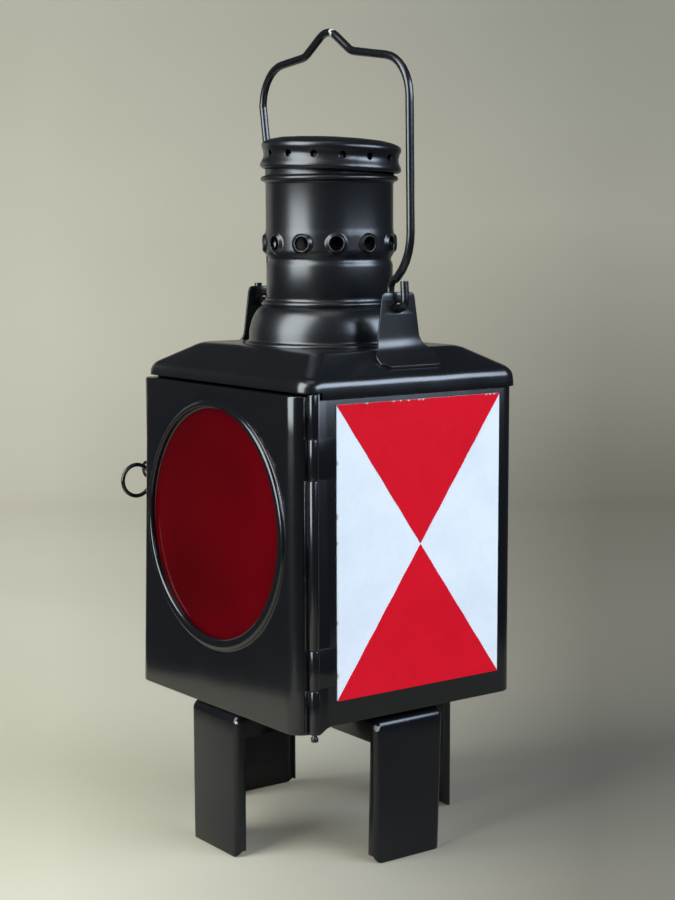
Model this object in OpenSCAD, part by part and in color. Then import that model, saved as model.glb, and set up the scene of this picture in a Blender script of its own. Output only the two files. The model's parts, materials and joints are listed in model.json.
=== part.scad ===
// Railway tail lamp: sheet steel case on four feet, round red lens in a hinged door,
// hourglass signal panel on one side, vented chimney, wire bail and an oil burner inside.
// Origin: on the floor, under the axis of the chimney. The door faces -Y, the panel +X.

/* [Case] */
// Width of the case over its side walls
case_w = 205; // [198:1:212]
// Distance from the chimney axis to the front opening
case_front = 86; // [82:1:90]
// Distance from the chimney axis to the back wall
case_back = 89.7; // [88:0.1:96]
// Thickness of the case, door, roof and floor sheet
sheet = 1.2; // [0.8:0.1:1.6]
// Radius of the two back corners
back_r = 13; // [8:1:18]
// Radius of the two front folds
fold_r = 4; // [3:0.5:6]
// Width of the flanges beside the front opening
lip_w = 11; // [8:1:16]
// Height of the floor pan's rim
rim_h = 14; // [10:1:20]
// How far the floor pan shows below the walls
wall_drop = 4.8; // [3:0.2:7]
// Half width of the sunk middle of the floor pan
sunk_half = 75; // [73.5:0.5:75]

/* [Feet] */
// Height of the feet
foot_h = 103.2; // [90:0.2:120]
// Distance from the chimney axis to the outer face of the front foot
foot_front_at = 102; // [96:0.1:102.5]
// Distance from the chimney axis to the outer face of the right foot
foot_right_at = 95.6; // [90:0.1:98]
// Distance from the chimney axis to the outer face of the back foot
foot_back_at = 92.6; // [90:0.1:96]
// Distance from the chimney axis to the outer face of the left foot
foot_left_at = 95.2; // [90:0.1:98]
// How far the front and left feet stand off the middle, to the left and the front
foot_shift = 2; // [0:0.5:3]
// Width of a foot
foot_w = 59.5; // [54:0.5:63]
// Depth of a foot's side flanges
foot_flange = 8; // [6:0.5:12]
// Thickness of the foot sheet
foot_sheet = 1.4; // [1:0.1:2]
// Outer radius of a foot's upright folds
foot_fold = 4.5; // [3:0.5:6]
// Outer radius of the bend from a foot to its strap
foot_bend = 7; // [5:0.5:8]
// Radius of the rounded bottom corners of a foot
foot_corner = 4; // [2:0.5:8]
// Distance from the chimney axis to the inner end of the straps
strap_end = 42; // [36:1:50]
// Height of the gussets under the floor
gusset_h = 17.7; // [12:0.1:22]
// Distance from the chimney axis to the foot rivets
rivet_at = 69.6; // [69.4:0.1:69.8]
// Radius of a rivet shank
rivet_r = 2; // [1.5:0.1:2.5]
// Radius of a rivet head
rivet_head_r = 3.8; // [3:0.1:4.5]
// Height of a rivet head
rivet_head_h = 1.3; // [0.8:0.1:2]

/* [Door] */
// Depth of the door pan
door_depth = 13.7; // [10:0.1:18]
// Radius of the door's long front edges
door_r = 12; // [6:0.5:13]
// Clearance between the door pan and the case
door_gap = 0.3; // [0.2:0.1:1]
// Clearance between the door and the feet below it
door_sill = 0.7; // [0.5:0.1:2]
// How much lower the door pan is than the case walls
door_short = 1.6; // [1:0.1:5]
// Distance of the lens centre below the top of the door
lens_down = 97.8; // [92:0.2:110]
// Radius of the lens opening
lens_hole_r = 81.5; // [70:0.5:82]
// Radius of the rolled bead round the opening
bead_r = 3; // [2:0.1:4.5]
// Width of the glass seat beyond the opening
seat_w = 4.5; // [3:0.5:5]
// Thickness of the red glass
glass_t = 4; // [3:0.5:6]
// Thickness of the gasket under the glass
gasket_t = 0.8; // [0.5:0.1:1.5]
// Radius of the retaining ring's studs
stud_r = 1.5; // [1:0.1:2]

/* [Door hinge] */
// Radius of the hinge pin
pin_r = 1.6; // [1.2:0.1:2]
// Radial clearance of the pins in their knuckles
pin_fit = 0.05; // [0.02:0.01:0.1]
// Outer radius of the hinge knuckles
knuckle_r = 3.5; // [3:0.1:4]
// Distance of the pin outside the side wall
hinge_out = 1.3; // [1:0.1:2]
// Distance of the pin in front of the case opening
hinge_fwd = 2.3; // [2:0.1:3]
// Thickness of the hinge leaves
leaf_t = 1; // [0.8:0.1:1.4]
// Height of each case strap of the hinge
strap_h = 27; // [20:1:34]
// Height of the lower case strap above the bottom of the case
strap_low = 27.2; // [24:0.1:40]
// Distance of the upper case strap's lower edge below the top of the walls
strap_down = 60.9; // [44:0.1:79]
// End clearance between two knuckles
knuckle_gap = 0.3; // [0.2:0.1:0.6]

/* [Roof] */
// Overhang of the roof past the side walls
roof_side = 2.5; // [2:0.1:4]
// Overhang of the roof past the front of the case
roof_front = 9; // [5:0.5:9.5]
// Overhang of the roof past the back wall
roof_back = 1.6; // [1.5:0.1:4]
// Radius of the roof's upright corners
roof_r = 13; // [10:1:15]
// How far the skirt laps over the top of the walls
skirt_over = 8.2; // [5:0.2:13]
// Height of the skirt
skirt_h = 6; // [5.8:0.2:12]
// How far the skirt is cut up above the door
skirt_cut = 4.2; // [3.6:0.1:6]
// Rounding between the skirt and the shoulders
shoulder_low_r = 10; // [4:0.5:12]
// Rounding between the shoulders and the flat top
shoulder_top_r = 16; // [6:0.5:18]
// Slope of the shoulders
shoulder_slope = 29.5; // [24:0.5:32]
// Height of the roof above its skirt
roof_rise = 22.5; // [20:0.1:24]

/* [Chimney] */
// Outer radius of the chimney's foot flange
flare_foot_r = 61; // [56:0.5:61]
// Outer radius of the main chimney tube
tube_r = 45.8; // [44:0.2:47]
// Tilt of the cap, in degrees
cap_tilt = 2.4; // [0:0.1:2.5]
// How far the cap sits off the axis of the tube
cap_shift = 0.8; // [0:0.1:0.9]
// Number of vents round the tube
vents = 12; // [8:1:14]
// Radius of a vent
vent_r = 4.8; // [3:0.1:5]
// Width of the raised rim round a vent
vent_rim = 1.5; // [1:0.1:2]
// Number of holes round the cap
cap_holes = 15; // [10:1:18]
// Radius of a hole in the cap
cap_hole_r = 2.5; // [1.5:0.1:3]
// Radius of the inner draught tube
draught_r = 30; // [24:1:34]
// Height of the inner draught tube above the roof
draught_h = 100; // [80:1:110]

/* [Ears and bail] */
// Distance of each ear's outer face inside the side wall
ear_in = 19; // [16.5:0.5:20.5]
// Thickness of the ears
ear_t = 1.6; // [1.2:0.1:2]
// Height of the bail's pivot above the flat roof
pivot_up = 28.2; // [26:0.2:32]
// How far the pivot lies in front of the chimney axis
pivot_fwd = 2; // [0:0.5:4]
// Height of an ear above the pivot
ear_over = 11; // [9:0.5:11]
// Half width of an ear at its top
ear_top = 14; // [12:0.5:14]
// Width of an ear's foot in front of the pivot
ear_foot_front = 22.5; // [21:0.5:26]
// Width of an ear's foot behind the pivot
ear_foot_back = 29.5; // [26:0.5:31]
// Radius of the bend at an ear's foot
ear_bend = 20; // [12:1:20]
// Radius of the bail wire
bail_r = 2.9; // [2.4:0.1:3.2]
// Clearance of the wire in the ear's hole
ear_fit = 0.6; // [0.3:0.1:1]
// Height of the bail's peak above its pivot
bail_h = 194; // [180:1:200]

/* [Latch] */
// Height of the latch above the bottom of the door
latch_up = 156.8; // [140:0.1:170]
// Height of the hasp
hasp_h = 15; // [12:0.5:18]
// Length of the hasp behind its front end
hasp_len = 46; // [36:1:60]
// Thickness of the hasp
hasp_t = 1.2; // [1:0.1:1.6]
// Radius of the latch pin
latch_pin_r = 1.2; // [1:0.1:1.4]
// Radius of the ring's wire
ring_wire_r = 1.5; // [1.2:0.1:1.6]
// Radius of the ring to the middle of its wire
ring_r = 11.7; // [10:0.1:13]
// How far the stored ring is swung forward from hanging, in degrees
ring_swing = 48; // [0:1:48]

/* [Signal panel] */
// Width of the panel
panel_w = 141.5; // [120:0.5:144]
// Height of the panel
panel_h = 200; // [180:1:202]
// Thickness of the enamelled plate
panel_t = 1; // [0.8:0.1:1.5]
// Thickness of the red fields
field_t = 0.3; // [0.2:0.1:0.5]
// Height of the panel above the bottom of the case
panel_up = 16.7; // [14:0.1:18]
// Height of the walls above the panel
panel_over = 12.3; // [12:0.1:20]
// How far the panel lies behind the chimney axis
panel_back = 1.5; // [0:0.5:3]

/* [Reservoir and burner] */
// Width of the oil reservoir
tank_w = 120; // [100:1:130]
// Depth of the oil reservoir
tank_d = 100; // [80:1:106]
// Height of the oil reservoir
tank_h = 76; // [60:1:84]
// Wall of the oil reservoir
tank_wall = 0.9; // [0.7:0.1:1.2]
// Inner radius of the burner's collar
collar_r = 14; // [12:0.5:16]
// Radius of the burner's gallery
gallery_r = 22; // [20:0.5:26]
// Width of the wick
wick_w = 21; // [16:0.5:22]
// Thickness of the wick
wick_t = 4; // [3:0.2:4.4]
// Clearance round the wick
wick_fit = 0.4; // [0.3:0.1:0.6]
// Radius of the wick wheels
wheel_r = 4.5; // [3.5:0.1:5]
// Radius of the wick shaft
shaft_r = 1.2; // [1:0.1:1.5]
// Radius of the wick knob
knob_r = 9; // [7:0.5:11]
// Outer radius of the filler neck
neck_r = 9; // [7:0.5:11]

/* [Reflector] */
// Radius of the reflector
dish_r = 50; // [40:1:51]
// Distance from the flame to the bottom of the dish
dish_focus = 46; // [40:1:50]
// Width of the reflector's bracket
bracket_w = 24; // [16:1:30]

/* [Hidden] */
$fn = 96;

// Tiny overlap that joins shapes of one piece, and lets a cutter pass a face
eps = 0.01;
// Paint and metal colours
black_paint = [0.09, 0.09, 0.10];
tin = [0.62, 0.63, 0.62];
brass = [0.72, 0.55, 0.25];

// Levels of the case, above the floor
floor_top = foot_h + sheet;
case_z = foot_h + wall_drop;
tab_z = foot_h + 0.2;
ledge_z = case_z + 0.2;
case_half = case_w / 2;
case_h = panel_up + panel_h + panel_over;

// Places of the door
door_z = foot_h + door_sill;
door_h = case_h - door_short;
door_back_y = -case_front - door_gap;
door_front_y = door_back_y - door_depth;
hinge_x = case_half + hinge_out;
hinge_y = -case_front - hinge_fwd;
door_right = hinge_x - knuckle_r - 0.5;
door_left = case_half - 0.6;
lens_z = door_z + door_h - lens_down;
glass_r = lens_hole_r + seat_w;
glass_y = door_front_y + sheet + gasket_t;
retainer_y = glass_y + glass_t;
stud_at = glass_r + 7;
strap_high = case_h - strap_down;

// Places of the roof
skirt_z = case_z + case_h - skirt_over;
roof_half = case_half + roof_side;
roof_front_y = -case_front - roof_front;
roof_back_y = case_back + roof_back;
roof_top = skirt_z + skirt_h + roof_rise;
shoulder_n = [cos(90 - shoulder_slope), sin(90 - shoulder_slope)];
// Distance of the shoulder plane from the line where the skirt meets the lower rounding
shoulder_c = shoulder_low_r - shoulder_low_r * shoulder_n[0];
// Inset of the flat top from the face of the skirt
flat_in = (shoulder_top_r + (roof_rise - shoulder_top_r) * shoulder_n[1] - shoulder_c)
          / shoulder_n[0];

// Places of the bail and ears
pivot_z = roof_top + pivot_up;
ear_at = case_half - ear_in;
ear_hole_r = bail_r + ear_fit;

// Direction, seen from above, in which the cap sits off its axis
cap_side = [0.588, 0.809, 0];
tube_z = roof_top + 34;
cap_z = tube_z + 89;
tube_t = sheet;

// Places inside
tank_z = floor_top;
tank_top = tank_z + tank_h;
shaft_z = tank_top + 18.6;
wick_top = tank_top + 43;
shaft_y = wick_t / 2 + 0.3 + wheel_r;
flame_z = max(lens_z, tank_top + dish_r + 3);

// Plan of the case, drawn in by a distance from the outside
module case_plan(inset) {
    x = case_half - inset;
    front = case_front - inset;
    back = case_back - inset;
    rf = fold_r - inset;
    rb = back_r - inset;
    translate([-x, -front + rf]) square([2 * x, front - rf + back - rb]);
    translate([-x + rf, -front]) square([2 * (x - rf), front]);
    translate([-x + rb, 0]) square([2 * (x - rb), back]);
    for (s = [-1, 1]) {
        translate([s * (x - rf), -front + rf]) circle(rf);
        translate([s * (x - rb), back - rb]) circle(rb);
    }
}

// A rivet along +Z, with its shank from z = 0 to grip and a head at each end
module rivet(grip) {
    translate([0, 0, -rivet_head_h]) cylinder(r1 = rivet_head_r * 0.7, r2 = rivet_head_r, h = rivet_head_h);
    translate([0, 0, -eps]) cylinder(r = rivet_r, h = grip + 2 * eps);
    translate([0, 0, grip]) cylinder(r1 = rivet_head_r, r2 = rivet_head_r * 0.7, h = rivet_head_h);
}

// Folded walls of the case: back, two sides and a flange beside the opening; the front corners
// reach down beside the floor pan
module case_shell() {
    tall = case_z + case_h - tab_z;
    color(black_paint) translate([0, 0, tab_z]) difference() {
        linear_extrude(tall) case_plan(0);
        translate([0, 0, -1]) linear_extrude(tall + 2) case_plan(sheet);
        translate([-case_half + lip_w, -case_front - 1, -1]) cube([case_w - 2 * lip_w, sheet + 2, tall + 2]);
        translate([-case_half - 1, -case_front, 0]) rotate([90, 0, 90]) linear_extrude(case_w + 2)
            polygon([[3.2, -1], [3.2, 0], [9, case_z - tab_z - 1], [13.5, case_z - tab_z],
                     [case_front + case_back + 1, case_z - tab_z], [case_front + case_back + 1, -1]]);
    }
}

// Places of the foot rivets, as points on the floor
function rivet_spots() = [for (a = [0, 90, 180, 270]) for (s = [-1, 1])
    [rivet_at * cos(a) - s * 14 * sin(a), rivet_at * sin(a) + s * 14 * cos(a)]];

// Plan of the floor's sunk middle, drawn in by a distance
module sunk_plan(inset) {
    x = sunk_half - inset;
    front = case_front - sheet - inset;
    r = 8 - inset;
    translate([-x, -front]) square([2 * x, front + x - r]);
    translate([-x + r, 0]) square([2 * (x - r), x]);
    for (s = [-1, 1]) translate([s * (x - r), x - r]) circle(r);
}

// Floor pan, with a rim inside the walls and a sunk middle that the feet are riveted to
module floor_pan() {
    color(black_paint) difference() {
        union() {
            translate([0, 0, ledge_z]) linear_extrude(foot_h + rim_h - ledge_z) case_plan(sheet);
            translate([0, 0, foot_h]) linear_extrude(rim_h / 2) sunk_plan(0);
        }
        translate([0, 0, ledge_z + sheet]) linear_extrude(rim_h) case_plan(2 * sheet);
        translate([0, 0, floor_top]) linear_extrude(rim_h) sunk_plan(sheet);
        for (p = rivet_spots()) translate([p[0], p[1], foot_h - 1]) cylinder(r = rivet_r + pin_fit, h = 4);
    }
}

// Thickness of the slices that the hood's form is drawn with
slice_h = 0.4;

// One slice of the hood, drawn in from the skirt's face, with its top at the given height
module hood_slice(inset, z, wall) {
    r = max(roof_r - inset * 0.2, 5) - wall;
    x = roof_half - inset - wall;
    y0 = roof_front_y + inset + wall;
    y1 = roof_back_y - inset - wall;
    translate([0, 0, z - slice_h]) linear_extrude(slice_h)
        hull() for (s = [-1, 1]) for (y = [y0 + r, y1 - r])
            translate([s * (x - r), y]) circle(r, $fn = 32);
}

// Solid form of the hood: skirt, lower rounding, sloped shoulders, top rounding and flat
module hood_form(wall, z0) {
    top = roof_top - wall;
    edge = skirt_z + skirt_h;
    hull() {
        hood_slice(0, z0 + slice_h, wall);
        for (i = [0:6]) let (t = (90 - shoulder_slope) * i / 6)
            hood_slice(shoulder_low_r * (1 - cos(t)), edge + shoulder_low_r * sin(t)
                       - wall * sin(t), wall * cos(t));
        for (i = [0:4]) let (t = 90 - shoulder_slope + shoulder_slope * i / 4)
            hood_slice(flat_in - shoulder_top_r * cos(t), top - shoulder_top_r * (1 - sin(t))
                       + wall * (1 - sin(t)), wall * cos(t));
    }
}

// Pressed roof, with a hem that grips the walls
module roof_hood() {
    hem_w = roof_side - sheet / 2;
    color(black_paint) {
        difference() {
            hood_form(0, skirt_z);
            hood_form(sheet, skirt_z - 1);
            translate([0, 0, roof_top - 20]) cylinder(r = tube_r - 2.3, h = 40);
            translate([-roof_half - 1, roof_front_y - 1, skirt_z - 1])
                cube([2 * roof_half + 2, roof_front + 5.5, skirt_cut + 1]);
        }
        // Hem
        for (s = [-1, 1]) translate([s * (case_half + hem_w / 2), 0, skirt_z + skirt_cut])
            translate([-hem_w / 2, -case_front + 10, 0]) cube([hem_w, case_front + case_back - 30, 3]);
        translate([-case_half + 20, case_back, skirt_z + skirt_cut]) cube([case_w - 40, roof_back - sheet / 2, 3]);
    }
}

// Side view of a foot: flange, gusset and the bend to the strap, seen from the web's outer face
module foot_side(len) {
    difference() {
        union() {
            translate([-foot_flange, 0]) square([foot_flange, foot_h]);
            translate([-len, foot_h - gusset_h]) square([len, gusset_h]);
        }
        foot_bend_cut(foot_bend);
    }
}

// Side view of the space inside a foot
module foot_inside(len) {
    difference() {
        translate([-len - 1, -1]) square([len + 1 - foot_sheet, foot_h + 1 - foot_sheet]);
        foot_bend_cut(foot_bend - foot_sheet);
    }
}

// The corner beyond the bend of the strap
module foot_bend_cut(r) {
    translate([-foot_bend, foot_h - foot_bend]) difference() {
        square(foot_bend + 1);
        circle(r);
    }
}

// Plan of a foot's channel, drawn in by a distance
module foot_plan(len, inset) {
    r = foot_fold - inset;
    half = foot_w / 2 - inset;
    translate([-len, -half]) square([len - inset - r, 2 * half]);
    translate([-len, -half + r]) square([len - inset, 2 * (half - r)]);
    for (s = [-1, 1]) translate([-inset - r, s * (half - r)]) circle(r);
}

// Front view of a foot, with its bottom corners rounded
module foot_face() {
    half = foot_w / 2;
    translate([-half, foot_corner]) square([foot_w, foot_h]);
    translate([-half + foot_corner, 0]) square([foot_w - 2 * foot_corner, foot_h]);
    for (s = [-1, 1]) translate([s * (half - foot_corner), foot_corner]) circle(foot_corner);
}

// A foot on the +X side, folded from one sheet: web, side flanges with gussets, and strap
module foot(at, shift = 0) {
    len = at - strap_end;
    color(black_paint) translate([at, shift, 0]) difference() {
        intersection() {
            linear_extrude(foot_h) foot_plan(len, 0);
            translate([0, foot_w, 0]) rotate([90, 0, 0]) linear_extrude(2 * foot_w) foot_side(len);
            translate([-len - 1, 0, 0]) rotate([90, 0, 90]) linear_extrude(len + 2) foot_face();
        }
        intersection() {
            translate([0, 0, -1]) linear_extrude(foot_h + 2) foot_plan(len + 2, foot_sheet);
            translate([0, foot_w, 0]) rotate([90, 0, 0]) linear_extrude(2 * foot_w) foot_inside(len);
        }
        for (s = [-1, 1]) translate([rivet_at - at, s * 14 - shift, foot_h - 3])
            cylinder(r = rivet_r + pin_fit, h = 4);
    }
}

module foot_right() foot(foot_right_at);
module foot_back() rotate([0, 0, 90]) foot(foot_back_at);
module foot_left() rotate([0, 0, 180]) foot(foot_left_at, foot_shift);
module foot_front() rotate([0, 0, 270]) foot(foot_front_at, -foot_shift);

// Eight rivets through the straps and the floor pan
module foot_rivets() {
    color(black_paint) for (p = rivet_spots())
        translate([p[0], p[1], foot_h - foot_sheet]) rivet(foot_sheet + sheet);
}

// Wall of a turned shell: outer points of radius and height, moved in by a thickness
module turned_shell(outer, t) {
    n = len(outer);
    inner = [for (i = [n - 1:-1:0]) [outer[i][0] - t, outer[i][1]]];
    rotate_extrude() polygon(concat(outer, inner));
}

// Half round bead on a tube, as points of radius and height
function bead_points(r, z, out, half) = [for (a = [-90:22.5:90]) [r + out * cos(a), z + half * sin(a)]];

// Spun base of the chimney, domed above its foot flange
module chimney_flare() {
    k = flare_foot_r;
    dome = [for (a = [0:9:72]) [tube_r + 0.4 + (k - 2 - tube_r) * cos(a) - 0.9, 3 + 25 * sin(a)]];
    outer = concat([[k, 0], [k, 1.5], [k - 1.5, 2.2]], dome,
                   bead_points(tube_r + 0.6, 29.2, 2.3, 1.9), [[tube_r + 0.6, 33]]);
    color(black_paint) translate([0, 0, roof_top]) turned_shell(outer, tube_t);
}

// Outline of the chimney tube, above the neck of the flare
function tube_points() = concat(
    [[tube_r - 0.65, -8], [tube_r - 0.65, 0.4], [tube_r - 0.3, 1], [tube_r - 0.3, 22],
     [tube_r - 0.7, 23.6], [tube_r - 1.6, 25.6], [tube_r - 1.5, 27.2], [tube_r - 0.5, 28.8],
     [tube_r + 0.4, 30.4], [tube_r + 0.7, 32.2], [tube_r + 0.7, 43.6], [tube_r + 0.4, 45.4],
     [tube_r, 48], [tube_r, 80.4]],
    bead_points(tube_r + 0.3, 83.4, 3.3, 2.2),
    [[tube_r + 0.3, 90], [tube_r - 0.6, 92], [tube_r - 0.6, 100]]);

// Rolled chimney tube with its groove, belt of vents, bead and collar
module chimney_tube() {
    vent_z = 37.8;
    belt_r = tube_r + 0.7;
    color(black_paint) translate([0, 0, tube_z]) difference() {
        union() {
            turned_shell(tube_points(), tube_t);
            for (i = [0:vents - 1]) rotate([0, 0, i * 360 / vents])
                translate([belt_r - 1, 0, vent_z]) rotate([0, 90, 0])
                    cylinder(r = vent_r + vent_rim, h = 1.7, $fn = 40);
        }
        for (i = [0:vents - 1]) rotate([0, 0, i * 360 / vents])
            translate([belt_r - 6, 0, vent_z]) rotate([0, 90, 0])
                cylinder(r = vent_r, h = 10, $fn = 40);
    }
}

// Outline of the cap above its lower edge, up to its widest upper ring
cap_wall = [[2.7, 0], [4.2, 0.8], [4.8, 2.4], [4.4, 4.4], [3.4, 6.4], [2.7, 8.4], [2.5, 10.2],
            [2.8, 12], [3.6, 13.8], [4.2, 15.4]];
// Outline of the domed top, as distance in from the widest ring and height
cap_dome = [[0.1, 1.6], [1, 3.2], [3, 4.6], [6.5, 5.8], [12, 6.8], [22, 7.8], [36, 8.6]];

// Domed cap with its waist of holes and three legs that grip inside the collar
module chimney_cap() {
    base = tube_r;
    rim = base + 4.2;
    wall = [for (p = cap_wall) [base + p[0], p[1]]];
    dome = [for (p = cap_dome) [rim - p[0], 15.4 + p[1]]];
    under = [for (i = [len(dome) - 1:-1:0]) [dome[i][0] - tube_t, dome[i][1] - tube_t]];
    inner = [for (i = [len(wall) - 1:-1:0]) [wall[i][0] - tube_t, wall[i][1]]];
    color(black_paint) translate([0, 0, cap_z] + cap_shift * cap_side)
        rotate(a = cap_tilt, v = [-cap_side[1], cap_side[0], 0]) {
        difference() {
            rotate_extrude() polygon(concat(wall, dome, [[0, 24.3], [0, 24.3 - tube_t]], under, inner));
            for (i = [0:cap_holes - 1]) rotate([0, 0, i * 360 / cap_holes - 2])
                translate([base - 6, 0, 10.2]) rotate([0, 90, 0]) cylinder(r = cap_hole_r, h = 14, $fn = 32);
        }
        for (a = [46, 166, 286]) rotate([0, 0, a]) rotate_extrude(angle = 16)
            translate([base - 4.3, -4]) square([1.2, 25]);
    }
}

// Inner draught tube, hung under the roof by its pierced flange
module draught_tube() {
    r = draught_r;
    flange = tube_r + 8;
    top = roof_top - sheet;
    color(tin) difference() {
        rotate_extrude() polygon([[r - 1, top - 20], [r, top - 20], [r, top - 1], [flange, top - 1],
                                  [flange, top], [r, top], [r, top + draught_h], [r - 1, top + draught_h]]);
        for (i = [0:7]) rotate([0, 0, i * 45]) translate([r + 7, 0, top - 3]) cylinder(r = 4, h = 6, $fn = 32);
    }
}

// How much the ear's flange is pressed in on each face
ear_press = 0.04;

// Side view of an ear: plate, bend and the flange that lies on the shoulder
module ear_profile() {
    n = shoulder_n;
    bend = ear_bend;
    t = ear_t;
    // Shoulder plane: n . (x, z) = c in the lamp's own place
    c = n[0] * (roof_half - shoulder_low_r) + n[1] * (skirt_z + skirt_h) + shoulder_low_r;
    ox = ear_at + bend;
    oz = (c + t + bend - n[0] * ox) / n[1];
    translate([ear_at - t, oz]) square([t, pivot_z + ear_over - oz]);
    intersection() {
        translate([ox, oz]) difference() {
            circle(bend + t);
            circle(bend);
        }
        polygon([[ox, oz], [ox - 60, oz], [ox - 60, oz - 80], [ox - 80 * n[0], oz - 80 * n[1]]]);
    }
    translate([ox - n[0] * (bend + t), oz - n[1] * (bend + t)]) rotate(-shoulder_slope)
        translate([-0.3, ear_press]) square([20, t - 2 * ear_press]);
}

// Front view of an ear, tapered, and flared at its foot, more so behind the pivot
module ear_outline() {
    z0 = roof_top - 20;
    r = 4;
    top = pivot_z + ear_over;
    union() {
        translate([-ear_top + r, top - 2 * r]) square([2 * (ear_top - r), 2 * r]);
        for (s = [-1, 1]) translate([s * (ear_top - r), top - r]) circle(r);
        polygon([[-ear_top, top - r], [-ear_top - 3.6, roof_top + 9], [-ear_top - 3.9, roof_top + 3],
                 [-ear_top - 5, roof_top], [-ear_foot_front, roof_top - 3], [-ear_foot_front, z0],
                 [ear_foot_back, z0], [ear_foot_back, roof_top - 2], [ear_top + 8.5, roof_top + 2.5],
                 [ear_top + 6.3, roof_top + 4.6], [ear_top + 4.2, roof_top + 9], [ear_top, top - r]]);
    }
}

// How far an ear's foot reaches out from its plate
ear_reach = 13.5;

// Plan of an ear's foot, with its outer corners cut
module ear_foot_plan() {
    out = ear_at + ear_reach;
    polygon([[ear_at - 10, -ear_foot_front], [out - 9, -ear_foot_front], [out, 6 - ear_foot_front],
             [out, ear_foot_back - 5], [out - 3, ear_foot_back], [ear_at - 10, ear_foot_back]]);
}

// An ear on the +X side, with the hole for the bail
module ear() {
    color(black_paint) translate([0, -pivot_fwd, 0]) difference() {
        intersection() {
            translate([0, 40, 0]) rotate([90, 0, 0]) linear_extrude(80) ear_profile();
            translate([ear_at - 20, 0, 0]) rotate([90, 0, 90]) linear_extrude(60) ear_outline();
            translate([0, 0, roof_top - 30]) linear_extrude(80) ear_foot_plan();
        }
        translate([ear_at - 10, 0, pivot_z]) rotate([0, 90, 0]) cylinder(r = ear_hole_r, h = 20);
        for (y = ear_rivet_spots) ear_rivet_place(y) translate([0, 0, -3]) cylinder(r = ear_rivet_r, h = 8);
    }
}

// Rivets of an ear: places along its foot and radius
ear_rivet_spots = [-12, 20];
ear_rivet_r = 1.1;

// Puts a child on an ear's foot, square to the shoulder
module ear_rivet_place(y) {
    n = shoulder_n;
    x = ear_at + ear_reach - 2.2;
    c = n[0] * (roof_half - shoulder_low_r) + n[1] * (skirt_z + skirt_h) + shoulder_low_r;
    translate([x, y, (c - n[0] * x) / n[1]]) rotate([0, 90 - asin(n[1]), 0]) children();
}

module ear_right() ear();
module ear_left() mirror([1, 0, 0]) ear();

// Flush rivets that hold the ears' feet on the shoulders
module ear_rivets() {
    color(black_paint) for (m = [0, 1]) mirror([m, 0, 0]) translate([0, -pivot_fwd, 0])
        for (y = ear_rivet_spots) ear_rivet_place(y) cylinder(r = ear_rivet_r - pin_fit, h = ear_t);
}

// How much a wire thins in its bends, and how far each bend runs into the straights
bend_thin = 0.05;
bend_root = 0.3;

// Direction of a vector, in degrees
function heading(v) = atan2(v[1], v[0]);
// Turn of a path at point i, from -180 to 180 degrees
function bend_at(p, i) = let (a = heading(p[i + 1] - p[i]) - heading(p[i] - p[i - 1]))
    a > 180 ? a - 360 : a < -180 ? a + 360 : a;
// Length that the rounding at point i takes from each neighbouring stretch
function taken(p, i) = i == 0 || i == len(p) - 1 ? 0 : p[i][2] * tan(abs(bend_at(plan(p), i)) / 2);
function plan(p) = [for (q = p) [q[0], q[1]]];

// A wire bent in its plane, through points [x, y, bend radius]
module bent_wire(p, r) {
    q = plan(p);
    for (i = [0:len(p) - 2]) {
        d = q[i + 1] - q[i];
        len_i = norm(d) - taken(p, i) - taken(p, i + 1);
        translate([q[i][0], q[i][1], 0]) rotate([0, 0, heading(d)]) translate([taken(p, i), 0, 0])
            rotate([0, 90, 0]) cylinder(r = r, h = len_i, $fn = 28);
    }
    for (i = [1:len(p) - 2]) {
        a = bend_at(q, i);
        s = a > 0 ? 1 : -1;
        h = heading(q[i] - q[i - 1]);
        more = bend_root / p[i][2] * 180 / PI;
        translate([q[i][0], q[i][1], 0]) rotate([0, 0, h]) translate([-taken(p, i), s * p[i][2], 0])
            rotate([0, 0, (s > 0 ? -90 : 90 + a) - more]) rotate_extrude(angle = abs(a) + 2 * more, $fn = 56)
                translate([p[i][2], 0]) circle(r - bend_thin, $fn = 28);
    }
}

// Bail of round wire: hooked through both ears, with a peak for the hook that carries it
module bail() {
    side = ear_at - 9.5;
    out = ear_at + 7;
    // Shares of the ears' distance and of the bail's height, counted from the pivot
    w = ear_at;
    h = bail_h;
    points = [[out, 18, 0], [out, 0, 4.5], [side, 0, 4.5], [side, 16.2, 4.5], [1.158 * w, 0.146 * h, 38],
              [1.130 * w, 0.863 * h, 30], [0.347 * w, 0.911 * h, 18], [1.5, h + 0.8, 17],
              [-0.323 * w, 0.908 * h, 18], [-1.006 * w, 0.876 * h, 29], [-0.982 * w, 0.747 * h, 35],
              [-side, 0.495 * h, 60], [-side, 0, 4.5], [-out, 0, 4.5], [-out, 13, 0]];
    color(black_paint) translate([0, -pivot_fwd, pivot_z]) rotate([90, 0, 0]) bent_wire(points, bail_r);
}

// Plan of the door pan, drawn in by a distance
module door_plan(inset) {
    r = door_r - inset;
    x0 = -door_left + inset;
    x1 = door_right - inset;
    y0 = door_front_y + inset;
    translate([x0, y0 + r]) square([x1 - x0, door_back_y - y0 - r]);
    translate([x0 + r, y0]) square([x1 - x0 - 2 * r, r + 0.1]);
    intersection() {
        for (x = [x0 + r, x1 - r]) translate([x, y0 + r]) circle(r);
        translate([x0, y0]) square([x1 - x0, r]);
    }
}

// Turns a shape that is drawn about Z to the axis of the lens, its z = 0 at the given depth
module on_lens(y) {
    translate([0, y, lens_z]) rotate([-90, 0, 0]) children();
}

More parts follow.
